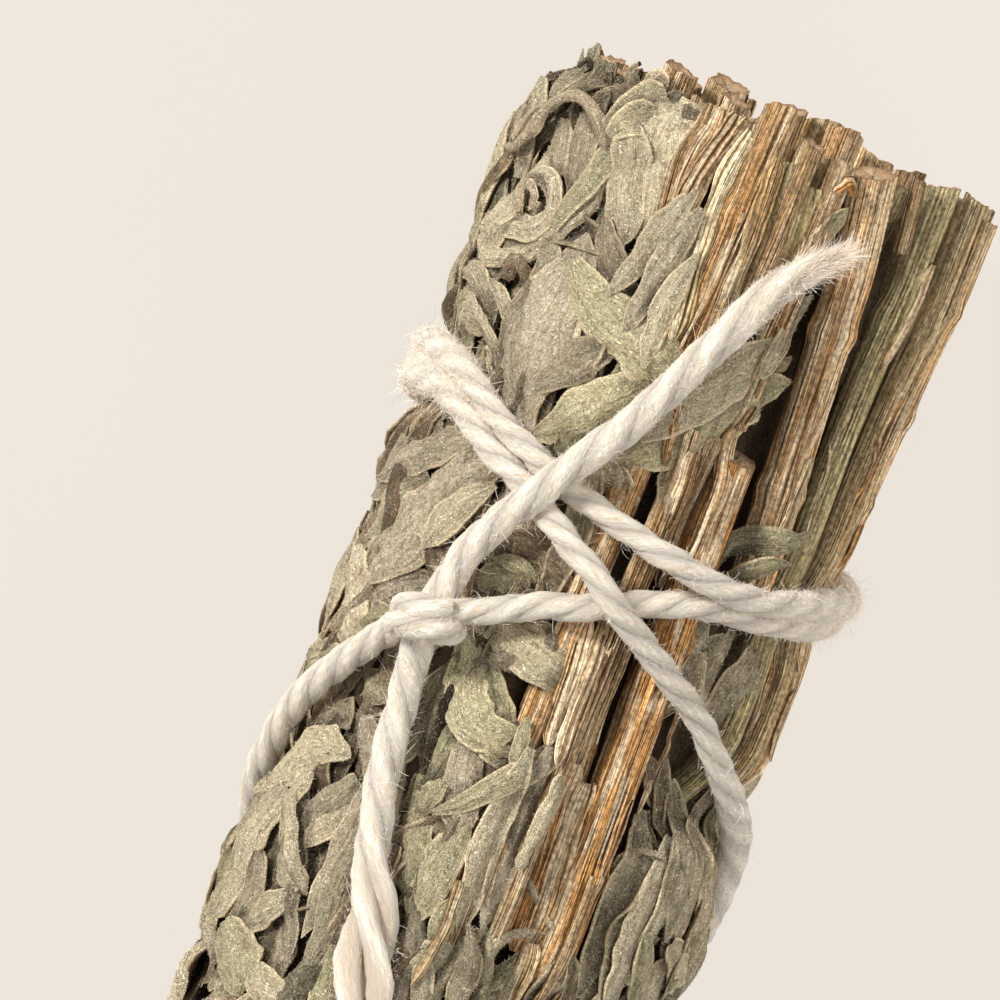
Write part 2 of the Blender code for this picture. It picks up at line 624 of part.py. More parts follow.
def twine_length(route, name, into):
    """One length of the string along its route, and how long it is in metres."""
    dense = smooth_route(route, 24)
    radii = twine_radius_at(dense[:, 0], dense[:, 2])
    points = np.array([place(d, a, r) for (d, a, _), r in zip(dense, radii)])
    points = spaced(points, TWINE_SPACING * MM)
    made = rod(name, [Vector(p) for p in points], [TWINE_RADIUS] * len(points), into)
    return made, float(np.linalg.norm(np.diff(points, axis=0), axis=1).sum())


def make_twine(into, look):
    """One string from the frayed end to the tucked end, fused where it lies on itself."""
    twine, first = twine_length(ROUTES[0], "binding_twine", into)
    extras = collection("binding_twine_pieces", into)
    _, second = twine_length(ROUTES[1], "binding_twine_rest", extras)
    bpy.ops.mesh.primitive_torus_add(
        major_segments=12, minor_segments=6, major_radius=KNOT_RING * MM, minor_radius=TWINE_RADIUS * MM
    )
    ring = bpy.context.object
    for holder in list(ring.users_collection):
        holder.objects.unlink(ring)
    extras.objects.link(ring)
    d, angle, height = KNOT_AT
    r = TWINE_BED + height
    along = (place(d + 2, angle + 0.6, r) - place(d - 2, angle - 0.6, r)).normalized()
    ring.matrix_world = along.to_track_quat("Z", "Y").to_matrix().to_4x4()
    ring.location = place(d, angle, r)
    fuse(twine, extras)
    flatten_underside(twine)
    print("twine length", round(first + second + 2 * math.pi * KNOT_RING * MM, 4))
    finish(twine, look)
    return twine


def flatten_underside(twine):
    """Cuts the twine level with the surface that it lies on."""
    cutters = collection("cutters", bpy.context.scene.collection)
    bpy.ops.mesh.primitive_cube_add(size=1.0)
    slab = bpy.context.object
    for holder in list(slab.users_collection):
        holder.objects.unlink(slab)
    cutters.objects.link(slab)
    slab.scale = (0.3, 0.3, 0.1)
    slab.location = (0.0, 0.0, -0.05)
    cut = twine.modifiers.new("Flat", "BOOLEAN")
    cut.operation = "DIFFERENCE"
    cut.object = slab
    cut.solver = "MANIFOLD"
    bpy.context.view_layer.update()
    graph = bpy.context.evaluated_depsgraph_get()
    mesh = bpy.data.meshes.new_from_object(twine.evaluated_get(graph))
    twine.modifiers.clear()
    twine.data = mesh
    bpy.data.objects.remove(slab)
    bpy.data.collections.remove(cutters)


def centre_on_base(bundle):
    """Moves the whole bundle so that its bounding box stands centred on the origin, with its foot at zero."""
    corners = [v.co for obj in bundle.objects for v in obj.data.vertices]
    low = Vector([min(c[i] for c in corners) for i in range(3)])
    high = Vector([max(c[i] for c in corners) for i in range(3)])
    shift = Vector((-(low.x + high.x) / 2, -(low.y + high.y) / 2, -low.z))
    print("moved by", tuple(round(v, 7) for v in shift))
    for obj in bundle.objects:
        obj.data.transform(Matrix.Translation(shift))


def main():
    clear_scene()
    bundle = collection("smudge_stick", bpy.context.scene.collection)
    leaf_look = material("dried_leaf", LEAF_COLOUR, 0.9)
    stem_look = material("woody_stem", STEM_COLOUR, 0.8)
    twine_look = material("cotton_twine", TWINE_COLOUR, 0.9)
    for number, spec in enumerate(SPRIGS):
        make_sprig(spec, number, bundle, leaf_look)
    make_bare_stems(bundle, stem_look)
    make_core_stems(bundle, stem_look)
    make_tips(bundle, leaf_look)
    make_twine(bundle, twine_look)
    centre_on_base(bundle)


main()
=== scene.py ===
import math
import random

import bpy
import numpy as np
from mathutils import Matrix, Vector


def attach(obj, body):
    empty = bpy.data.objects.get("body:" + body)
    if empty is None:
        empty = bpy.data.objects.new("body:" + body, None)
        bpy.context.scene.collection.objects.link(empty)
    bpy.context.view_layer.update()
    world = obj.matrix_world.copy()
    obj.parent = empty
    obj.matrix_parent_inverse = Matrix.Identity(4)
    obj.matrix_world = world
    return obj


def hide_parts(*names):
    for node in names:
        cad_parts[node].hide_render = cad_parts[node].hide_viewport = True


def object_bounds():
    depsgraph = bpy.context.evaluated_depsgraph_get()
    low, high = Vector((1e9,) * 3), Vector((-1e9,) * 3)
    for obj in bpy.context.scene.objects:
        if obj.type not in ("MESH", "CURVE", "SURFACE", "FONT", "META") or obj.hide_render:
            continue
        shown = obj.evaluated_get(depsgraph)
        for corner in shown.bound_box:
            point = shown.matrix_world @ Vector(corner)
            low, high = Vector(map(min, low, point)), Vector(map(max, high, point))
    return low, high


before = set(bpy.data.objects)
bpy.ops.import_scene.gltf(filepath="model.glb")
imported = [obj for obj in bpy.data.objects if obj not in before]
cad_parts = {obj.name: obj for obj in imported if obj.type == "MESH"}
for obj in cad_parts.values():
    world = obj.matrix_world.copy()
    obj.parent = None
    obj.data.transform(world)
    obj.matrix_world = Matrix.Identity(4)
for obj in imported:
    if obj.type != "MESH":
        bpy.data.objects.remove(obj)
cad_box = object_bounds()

# A place on the bundle is (d, angle, r): d is mm from the cut end, angle is degrees round the axis, with 0 on
# top and 90 on the -Y side, and r is mm from the axis
MM = 0.001
LENGTH = 105.0
HALF_LENGTH = LENGTH / 2

# Where the axis lies in the frame
AXIS_HEIGHT = 15.05
CAD_SHIFT = (-0.9177, 0.808)

# The bundle narrows to its far end, spreads at its cut end, mostly to one side, and is pressed level below
TAPER_START = 84.0
TAPER_LENGTH = 23.0
FLARE = 0.12
FLARE_LENGTH = 22.0
FLARE_SIDE = 65.0
PRESS = 2.0

# How far from the axis each layer reaches, and the radius at which a leaf's flat course is laid out
COAT_RADIUS = 17.35
MAT_OUTER = 13.4
BARE_OUTER = 11.2
BARE_STEM_TOP = 15.6
SIDE_STEM_TOP = 16.3
STEM_SWELL = 1.12
TWINE_BED = 16.15
TWINE_RADIUS = 1.15
LAY_RADIUS = 15.0

# The corners, in mm, that no loose fibre or leaf edge passes
PAST_BOX = 0.026
FLOOR_GAP = 0.02
BOX = np.array([list(corner) for corner in cad_box]) / MM
LOWEST = BOX[0] - PAST_BOX * (BOX[1] - BOX[0])
HIGHEST = BOX[1] + PAST_BOX * (BOX[1] - BOX[0])
LOWEST[2] = FLOOR_GAP


# The bundle's form

def taper(d):
    """The share of the full radius that is left at d."""
    t = np.clip((np.asarray(d, float) - TAPER_START) / TAPER_LENGTH, 0.0, 0.985)
    return np.sqrt(1.0 - t * t)


def flare(d, angle):
    """The share by which the cut end is wider."""
    t = np.clip(1.0 - np.asarray(d, float) / FLARE_LENGTH, 0.0, 1.2)
    side = 0.5 + 0.5 * np.cos(np.radians(np.asarray(angle, float) - FLARE_SIDE))
    return 1.0 + FLARE * np.minimum(t * t, 0.5) * (0.3 + 0.7 * side) * side


def place(d, angle, r):
    """Points in mm, in the frame's axes, as an array with a last axis of 3."""
    d, angle, r = np.broadcast_arrays(np.asarray(d, float), np.asarray(angle, float), np.asarray(r, float))
    a = np.radians(angle)
    press = PRESS * np.clip((r - 9.8) / 3.2, 0.0, 1.0)
    z = np.maximum(r * np.cos(a), -(r - press))
    return np.stack([HALF_LENGTH - d + CAD_SHIFT[0], -r * np.sin(a) + CAD_SHIFT[1], AXIS_HEIGHT + z], axis=-1)


# The twine's route, as (d, angle, height above its bed), in one length with a round turn for the knot

TO_KNOT = [
    (5.5, 25.5, 1.6), (6.9, 20.5, 1.5), (9.1, 14.4, 1.5), (12.1, 9.4, 1.5), (15.6, 4.2, 1.5),
    (18.9, -0.8, 1.5), (22.0, -6.1, 1.6), (24.9, -12.0, 1.9), (27.8, -17.6, 2.0), (30.6, -23.8, 1.6),
    (33.7, -29.3, 1.2), (36.6, -30.9, 1.5), (38.6, -30.8, 1.9), (40.8, -32.6, 1.0),
]
KNOT_TO_TIPS = [
    (44.4, -32.4, 0.2), (48.6, -30.9, 0.1), (52.2, -28.0, 0), (55.1, -24.7, 0), (57.6, -20.9, 0),
    (60.2, -17.8, 0), (62.9, -15.4, 0), (67, -11, 0), (73, 0, 0), (80, 22, 0),
    (86.5, 55, 0), (91, 95, 0), (94, 140, 0), (96, 185, 0), (97, 235, 0), (97, 285, 0), (95.8, 330, 0),
]
TIPS_BACK_TO_KNOT = [
    (93.5, 375, 0.1), (90.8, 410, 1.2), (88.8, 431, 2.6), (86.5, 447, 1.6), (83.2, 465, 0.1),
    (77, 505, 0), (69.5, 545, 0), (62, 585, 0), (57.0, 612, 0), (53.2, 628, 0), (50.2, 638, 0),
    (47.2, 648.3, 0), (44.0, 662.1, 0), (41.1, 675.1, 0.6), (39.6, 682.5, 1.7), (39.0, 687, 1.9),
]
KNOT_TO_RIGHT_EDGE = [
    (38.0, -29, 1.9), (37.0, -23.4, 1.2), (36.2, -17.5, 0.3), (34.9, -9.1, 0), (34.0, 0, 0),
    (33.4, 5.3, 0), (32.4, 13.2, 0), (31.4, 22.4, 0), (30.8, 33.2, 0), (30.6, 46.2, 0), (30.1, 62.9, 0),
    (29.5, 80, 0), (29.2, 95, 0), (28.6, 112, 0), (27.2, 130, 0), (25.4, 150, 0), (24.1, 175, 0),
    (23.2, 210, 0), (22.3, 250, 0),
]
FIRST_FRONT_PASS = [
    (21.9, 270, 0), (21.7, 284, 0), (21.8, 293, 0), (22.3, 305.5, 0), (23.3, 314.3, 0), (24.3, 322, 0),
    (25.1, 329.6, 0), (25.8, 336.5, 0), (26.6, 344.1, 0), (27.3, 353.5, 0), (28.1, 364.4, 0.2),
    (28.7, 374.8, 1.0), (29.3, 385.9, 1.15), (29.4, 397.6, 1.1), (29.0, 409.8, 0.9), (28.5, 424, 0.5),
    (28.2, 438, 0.4), (27.9, 452, 0.7),
]
ROUND_THE_BACK = [
    (27.6, 465, 0.9), (27.4, 477, 1.6), (27.2, 489, 2.5), (27.2, 500, 1.7), (27.1, 513, 0.3), (26.9, 530, 0),
    (26.4, 570, 0), (25.2, 610, 0),
]
SECOND_FRONT_PASS = [
    (24.4, 630, 0), (24.0, 645, 0), (23.9, 655, 0), (24.0, 662.7, 0), (24.8, 671.3, 0),
    (25.8, 678.9, 0), (26.7, 685.6, 0), (27.3, 692.1, 0), (28.0, 698.0, 0.1), (28.9, 704.3, 0.8),
    (30.3, 713.4, 1.8), (31.4, 720, 2.4), (33.0, 726.6, 2.4), (34.5, 735, 1.4), (36.4, 746.7, 0.4),
    (38.2, 758.8, 0), (40.6, 770.2, 0), (43.3, 785.0, 0), (45.7, 799, 0), (48.1, 807, 0), (50.8, 813.5, 0),
]
TO_TUCKED_END = [
    (53.2, 821, 0), (55.0, 832, 0), (56.4, 850, 0), (57.4, 875, 0), (58.2, 900, 0), (58.8, 918, 0),
    (59.2, 930, 0),
]
ROUTES = (
    TO_KNOT + KNOT_TO_TIPS + TIPS_BACK_TO_KNOT,
    KNOT_TO_RIGHT_EDGE + FIRST_FRONT_PASS + ROUND_THE_BACK + SECOND_FRONT_PASS + TO_TUCKED_END,
)
KNOT_AT = (38.6, -30.8, 1.9)
KNOT_RING = 1.75


def smooth_route(route, steps):
    """Rows on a Catmull-Rom curve through the route."""
    points = np.array([route[0]] + list(route) + [route[-1]], float)
    found = []
    for i in range(1, len(points) - 2):
        p0, p1, p2, p3 = points[i - 1 : i + 3]
        t = (np.arange(steps) / steps)[:, None]
        found.append(
            0.5 * (2 * p1 + (p2 - p0) * t + (2 * p0 - 5 * p1 + 4 * p2 - p3) * t**2
                   + (3 * p1 - p0 - 3 * p2 + p3) * t**3)
        )
    found.append(points[-2:-1])
    return np.concatenate(found)


def twine_points(route):
    """The twine's centre line along one of its routes."""
    dense = smooth_route(route, 24)
    return place(dense[:, 0], dense[:, 1], TWINE_BED * taper(dense[:, 0]) + dense[:, 2])


def knot_points():
    """The round turn that the twine takes about itself at the knot."""
    d, angle, height = KNOT_AT
    r = TWINE_BED + height
    centre = place(d, angle, r)
    along = place(d - 2, angle - 0.6, r) - place(d + 2, angle + 0.6, r)
    along /= np.linalg.norm(along)
    up = place(d, angle, r + 1) - centre
    up -= along * up.dot(along)
    up /= np.linalg.norm(up)
    side = np.cross(up, along)
    turn = np.radians(np.linspace(-70, 430, 40))[:, None]
    share = np.linspace(-1, 1, 40)[:, None]
    radius = KNOT_RING + 0.1 * share
    return centre + radius * (np.sin(turn) * side + np.cos(turn) * up) - along * share * 0.8


# Meshes from arrays

class Pieces:
    """Gathers vertices, faces and their colour and coordinate values for one mesh."""

    def __init__(self):
        self.verts, self.quads, self.tris, self.marks, self.tints = [], [], [], [], []
        self.quad_slots, self.tri_slots = [], []
        self.count = 0

    def add(self, verts, quads=None, tris=None, mark=None, tint=None, material=0):
        """Adds points in mm and their faces. mark and tint are one value each, or one for every point."""
        verts = np.clip(np.asarray(verts, float).reshape(-1, 3), LOWEST, HIGHEST)
        n = len(verts)
        self.verts.append(verts)
        self.marks.append(np.broadcast_to(np.zeros(3) if mark is None else mark, (n, 3)))
        self.tints.append(np.broadcast_to(np.zeros(3) if tint is None else tint, (n, 3)))
        if quads is not None and len(quads):
            self.quads.append(np.asarray(quads) + self.count)
            self.quad_slots.append(np.full(len(quads), material))
        if tris is not None and len(tris):
            self.tris.append(np.asarray(tris) + self.count)
            self.tri_slots.append(np.full(len(tris), material))
        self.count += n

    def add_grid(self, points, mark, tint=(0.0, 0.0, 0.0), closed=False):
        """Adds rows of points as a sheet, or as a tube where closed."""
        quads = grid_quads(*points.shape[:2], closed)
        self.add(points, quads, mark=np.reshape(mark, (-1, 3)), tint=np.reshape(tint, (-1, 3)))

    def build(self, name, materials, slot, stands_for=(), smooth=True):
        """Makes the object. It rides the one body and stands for the named nodes. slot is not used."""
        verts = np.concatenate(self.verts) * MM
        quads = np.concatenate(self.quads) if self.quads else np.zeros((0, 4), int)
        tris = np.concatenate(self.tris) if self.tris else np.zeros((0, 3), int)
        mesh = bpy.data.meshes.new(name)
        mesh.vertices.add(len(verts))
        mesh.vertices.foreach_set("co", verts.astype(np.float32).ravel())
        loops = np.concatenate([quads.ravel(), tris.ravel()])
        mesh.loops.add(len(loops))
        mesh.loops.foreach_set("vertex_index", loops.astype(np.int32))
        starts = np.concatenate([np.arange(len(quads)) * 4, len(quads) * 4 + np.arange(len(tris)) * 3])
        mesh.polygons.add(len(starts))
        mesh.polygons.foreach_set("loop_start", starts.astype(np.int32))
        slots = np.concatenate(self.quad_slots + self.tri_slots)
        mesh.polygons.foreach_set("material_index", slots.astype(np.int32))
        mesh.polygons.foreach_set("use_smooth", np.full(len(starts), smooth))
        for label, rows in (("mark", self.marks), ("tint", self.tints)):
            layer = mesh.attributes.new(label, "FLOAT_VECTOR", "POINT")
            layer.data.foreach_set("vector", np.concatenate(rows).astype(np.float32).ravel())
        mesh.update(calc_edges=True)
        for material in materials:
            mesh.materials.append(material)
        obj = bpy.data.objects.new(name, mesh)
        bpy.context.scene.collection.objects.link(obj)
        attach(obj, "root")
        if stands_for:
            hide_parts(*stands_for)


def grid_quads(rows, columns, closed=False):
    """Faces of a grid of points in row order, closed round its columns where asked."""
    i, j = np.meshgrid(np.arange(rows - 1), np.arange(columns if closed else columns - 1), indexing="ij")
    k = (j + 1) % columns
    corners = [i * columns + j, i * columns + k, (i + 1) * columns + k, (i + 1) * columns + j]
    return np.stack(corners, -1).reshape(-1, 4)


def resampled(points, spacing):
    """Points spaced evenly along a line, and the mm along it at each."""
    steps = np.linalg.norm(np.diff(points, axis=0), axis=1)
    run = np.concatenate([[0.0], np.cumsum(steps)])
    at = np.linspace(0.0, run[-1], max(2, round(run[-1] / spacing) + 1))
    return np.stack([np.interp(at, run, points[:, k]) for k in range(3)], axis=1), at


def frames(points):
    """Tangents and two steady normals along a line of points."""
    tangent = np.gradient(points, axis=0)
    tangent /= np.linalg.norm(tangent, axis=1)[:, None]
    first = np.cross(tangent[0], [0.0, 0.0, 1.0])
    if np.linalg.norm(first) < 0.1:
        first = np.cross(tangent[0], [0.0, 1.0, 0.0])
    normal = np.empty_like(points)
    normal[0] = first / np.linalg.norm(first)
    for i in range(1, len(points)):
        n = normal[i - 1] - tangent[i] * normal[i - 1].dot(tangent[i])
        normal[i] = n / np.linalg.norm(n)
    return tangent, normal, np.cross(tangent, normal)


def spokes(turn, normal, side):
    """Unit vectors at each angle of turn, square to the line at each of its points."""
    return np.cos(turn)[None, :, None] * normal[:, None, :] + np.sin(turn)[None, :, None] * side[:, None, :]


def outward_at(line):
    """The way out from the bundle's axis at each point of a line."""
    out = line - np.array([0.0, CAD_SHIFT[1], AXIS_HEIGHT])
    out[:, 0] = 0.0
    return out / np.linalg.norm(out, axis=1)[:, None].clip(0.001)


def wander(n, scale, spread, source):
    """A smooth random line of n values that changes over about scale steps."""
    knots = source.normal(0.0, spread, max(4, int(n / scale) + 4))
    x = np.linspace(0, len(knots) - 1.001, n)
    i = x.astype(int)
    t = x - i
    t = t * t * (3 - 2 * t)
    return knots[i] * (1 - t) + knots[i + 1] * t


# The height of whatever lies topmost so far, over a grid of d and angle

CELL_D = 0.4
CELL_A = 1.5
D_LOW = -4.0
ROWS_D = int((LENGTH + 6 - D_LOW) / CELL_D)
ROWS_A = int(360 / CELL_A)
grid_d = D_LOW + (np.arange(ROWS_D) + 0.5) * CELL_D
grid_a = (np.arange(ROWS_A) + 0.5) * CELL_A - 180.0
heights = np.zeros((ROWS_D, ROWS_A))


def cells(d, angle):
    """The height grid's rows and columns at d and angle."""
    i = np.clip(((np.asarray(d) - D_LOW) / CELL_D).astype(int), 0, ROWS_D - 1)
    j = (((np.asarray(angle) + 180.0) / CELL_A).astype(int)) % ROWS_A
    return i, j


def raise_heights(d, angle, r):
    """Lifts the height grid to r where it is lower."""
    i, j = cells(d, angle)
    np.maximum.at(heights, (i.ravel(), j.ravel()), np.asarray(r).ravel())


def build_ceiling():
    """The greatest r at each cell: the bundle's own form, lower under and beside the twine."""
    dd, aa = np.meshgrid(grid_d, grid_a, indexing="ij")
    top = COAT_RADIUS * taper(dd) * flare(dd, aa)
    samples = np.concatenate([smooth_route(route, 6) for route in ROUTES])
    knot = [(KNOT_AT[0] + d, KNOT_AT[1] + a, -0.1) for d in (-1, 0, 1) for a in (-7, 0, 7)]
    for d, angle, height in np.concatenate([samples, knot]):
        rows = np.where(np.abs(grid_d - d) < 5)[0]
        across = (grid_a - angle + 180.0) % 360.0 - 180.0
        columns = np.where(np.abs(across) < 24)[0]
        away = np.hypot((grid_d[rows] - d)[:, None], np.radians(across[columns])[None, :] * LAY_RADIUS)
        under = TWINE_BED * float(taper(d)) + height - TWINE_RADIUS - 0.1
        limit = under + np.maximum(0.0, away - 1.1) * 0.8
        patch = np.ix_(rows, columns)
        top[patch] = np.minimum(top[patch], limit)
    return top


ceiling = build_ceiling()

# Where the bundle's coat is leafy: the sprig's angles and the d from which its leaves cover it
SPRIGS = {
    "leafy_sprig_upper_left": (-87, -5, 1.0),
    "leafy_sprig_top": (-5, 40, 62.0),
    "leafy_sprig_right": (40, 76, 46.0),
    "leafy_sprig_lower_right": (76, 113, 46.0),
    "leafy_sprig_under_right": (113, 150, 30.0),
    "leafy_sprig_under": (150, 191, 3.0),
    "leafy_sprig_under_left": (191, 232, 2.0),
    "leafy_sprig_left": (232, 273, 1.5),
}


def leafy(d, angle):
    """1 where leaves cover the coat and 0 where stems lie bare."""
    angle = (np.asarray(angle, float) + 90.0) % 360.0 - 90.0
    found = np.zeros(np.broadcast(d, angle).shape)
    for lo, hi, start in SPRIGS.values():
        inside = (angle >= lo) & (angle < hi) & (d >= start)
        found = np.where(inside, 1.0, found)
    return found


def start_heights():
    """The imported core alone, before any stem or leaf lies on it."""
    dd, aa = np.meshgrid(grid_d, grid_a, indexing="ij")
    beside = np.clip((np.abs(aa) - 55.0) / 25.0, 0.0, 1.0)
    base = np.where(leafy(dd, aa) > 0, MAT_OUTER + 1.0 + 0.8 * beside, BARE_OUTER)
    heights[:] = base * taper(dd) * flare(dd, aa)


start_heights()


# Materials

def new_material(name, roughness, specular=0.5):
    made = bpy.data.materials.new(name)
    made.use_nodes = True
    shader = made.node_tree.nodes["Principled BSDF"]
    shader.inputs["Roughness"].default_value = roughness
    shader.inputs["Specular IOR Level"].default_value = specular
    return made, made.node_tree, shader


def node(tree, kind, inputs=None, **settings):
    """A shader node. Each input, by name or number, is a value or a socket to link."""
    made = tree.nodes.new(kind)
    for key, value in settings.items():
        setattr(made, key, value)
    for key, value in (inputs or {}).items():
        if isinstance(value, bpy.types.NodeSocket):
            tree.links.new(value, made.inputs[key])
        else:
            made.inputs[key].default_value = value
    return made


def attribute(tree, label):
    return node(tree, "ShaderNodeAttribute", attribute_name=label).outputs["Vector"]


def own_place(tree):
    return node(tree, "ShaderNodeTexCoord").outputs["Object"]


def split(tree, vector):
    return node(tree, "ShaderNodeSeparateXYZ", {0: vector}).outputs


def math_node(tree, operation, a, b=0.0, clamp=False):
    return node(tree, "ShaderNodeMath", {0: a, 1: b}, operation=operation, use_clamp=clamp).outputs[0]


def scaled(tree, vector, factors):
    return node(tree, "ShaderNodeVectorMath", {0: vector, 1: factors}, operation="MULTIPLY").outputs[0]


def brighter(tree, colour, light):
    return node(tree, "ShaderNodeVectorMath", {0: colour, 3: light}, operation="SCALE").outputs[0]


def noise(tree, vector, scale, detail=2.0, roughness=0.5):
    inputs = {"Vector": vector, "Scale": scale, "Detail": detail, "Roughness": roughness}
    return node(tree, "ShaderNodeTexNoise", inputs).outputs["Fac"]


def ramp(tree, factor, stops):
    made = node(tree, "ShaderNodeValToRGB", {0: factor})
    elements = made.color_ramp.elements
    while len(elements) > len(stops):
        elements.remove(elements[-1])
    while len(elements) < len(stops):
        elements.new(1.0)
    for element, (at, colour) in zip(elements, stops):
        element.position = at
        element.color = (*colour, 1.0)
    return made.outputs["Color"]


def mix(tree, factor, a, b, blend="MIX"):
    made = node(tree, "ShaderNodeMix", {0: factor, 6: a, 7: b}, data_type="RGBA", blend_type=blend)
    return made.outputs[2]


def stretch(tree, value, low, high, to_low=0.0, to_high=1.0):
    made = node(tree, "ShaderNodeMapRange", {0: value, 1: low, 2: high, 3: to_low, 4: to_high})
    return made.outputs[0]


def bump(tree, height, strength, distance, normal=None):
    inputs = {"Height": height, "Strength": strength, "Distance": distance}
    if normal is not None:
        inputs["Normal"] = normal
    return node(tree, "ShaderNodeBump", inputs).outputs[0]


def rgb(*values):
    return (*values, 1.0)


def leaf_material():
    """Felted leaf. tint is greenness, brownness and lightness, which hold the painted shade where one leaf
    lies over another. mark is place across, mm along, a number.
    """
    made, tree, shader = new_material("felted_leaf", 0.85, 0.12)
    mark = attribute(tree, "mark")
    tint = split(tree, attribute(tree, "tint"))
    parts = split(tree, mark)
    place_at = own_place(tree)
    grey = ramp(tree, tint[0], [
        (0.0, (0.415, 0.352, 0.265)), (0.5, (0.415, 0.372, 0.245)), (1.0, (0.38, 0.362, 0.19)),
    ])
    base = mix(tree, tint[1], grey, rgb(0.27, 0.165, 0.085))
    fine = noise(tree, place_at, 2300.0, 1.0)
    other = noise(tree, scaled(tree, place_at, (1.13, 0.94, 1.21)), 2900.0, 1.0)
    curls = []
    for field in (fine, other):
        away = math_node(tree, "ABSOLUTE", math_node(tree, "SUBTRACT", field, 0.5))
        curls.append(stretch(tree, away, 0.006, 0.035, 1.0, 0.0))
    curled = math_node(tree, "MAXIMUM", *curls)
    grain = math_node(tree, "MULTIPLY", noise(tree, place_at, 3600.0, 1.0), 0.45)
    lines = noise(tree, scaled(tree, mark, (8.0, 1.0, 3.0)), 1.0, 2.0, 0.6)
    felt = math_node(tree, "ADD", grain, math_node(tree, "MULTIPLY", lines, 0.55))
    speckle = stretch(tree, felt, 0.38, 0.60)
    veins = noise(tree, scaled(tree, mark, (7.0, 0.30, 3.0)), 1.0, 2.0, 0.6)
    broad = noise(tree, place_at, 420.0, 3.0, 0.6)
    dark = mix(tree, 1.0, base, rgb(0.36, 0.30, 0.215), "MULTIPLY")
    colour = mix(tree, speckle, dark, base)
    pale = mix(tree, 0.62, base, rgb(0.93, 0.83, 0.62))
    colour = mix(tree, math_node(tree, "MULTIPLY", curled, 0.90), colour, pale)
    colour = mix(tree, stretch(tree, veins, 0.35, 0.7, 0.0, 0.25), colour, rgb(0.62, 0.55, 0.41))
    colour = mix(tree, stretch(tree, broad, 0.45, 0.75, 0.0, 0.40), colour, rgb(0.31, 0.225, 0.14))
    edge = math_node(tree, "ABSOLUTE", parts[0])
    rib = stretch(tree, edge, 0.04, 0.10, 0.20, 0.0)
    colour = mix(tree, rib, colour, rgb(0.66, 0.59, 0.42))
    # A tan band along both edges: the leaves' own tan margin, made lighter as a painted highlight
    rim = stretch(tree, edge, 0.80, 0.97, 0.0, 0.60)
    colour = mix(tree, rim, colour, rgb(0.72, 0.58, 0.37))
    # Painted shade: the edge that turns under the leaf is near black
    colour = mix(tree, stretch(tree, edge, 1.03, 1.10, 0.0, 0.9), colour, rgb(0.085, 0.052, 0.028))
    # Lightness from tint, lowered by the painted shade where other leaves lie over the leaf, down to below
    # zero
    colour = brighter(tree, colour, stretch(tree, tint[2], -0.4, 1.0, 0.12, 1.98))
    tree.links.new(colour, shader.inputs["Base Color"])
    first = bump(tree, veins, 0.9, 0.0004)
    tree.links.new(bump(tree, curled, 1.0, 0.00011, first), shader.inputs["Normal"])
    return made


def hair_material(name, colour, tinted):
    """Fine fibres with a faint glow in their own colour, painted light that stands for light passing through
    thin fibres. Where tinted, they take after their leaf.
    """
    made, tree, shader = new_material(name, 0.7, 0.2)
    shade = rgb(*colour)
    if tinted:
        tint = split(tree, attribute(tree, "tint"))
        shade = ramp(tree, tint[0], [(0.0, colour), (0.5, (0.60, 0.545, 0.40)), (1.0, (0.53, 0.505, 0.31))])
        shade = mix(tree, tint[1], shade, rgb(0.40, 0.26, 0.14))
        shade = brighter(tree, shade, stretch(tree, tint[2], 0.0, 1.0, 0.6, 1.35))
    varied = noise(tree, own_place(tree), 900.0)
    darker = rgb(0.45, 0.38, 0.26) if tinted else rgb(0.74, 0.63, 0.51)
    shade = mix(tree, stretch(tree, varied, 0.3, 0.8, 0.0, 0.35), shade, darker)
    tree.links.new(shade, shader.inputs["Base Color"])
    # Painted light: the fibres glow faintly in their own colour
    tree.links.new(shade, shader.inputs["Emission Color"])
    shader.inputs["Emission Strength"].default_value = 0.05 if tinted else 0.09
    return made


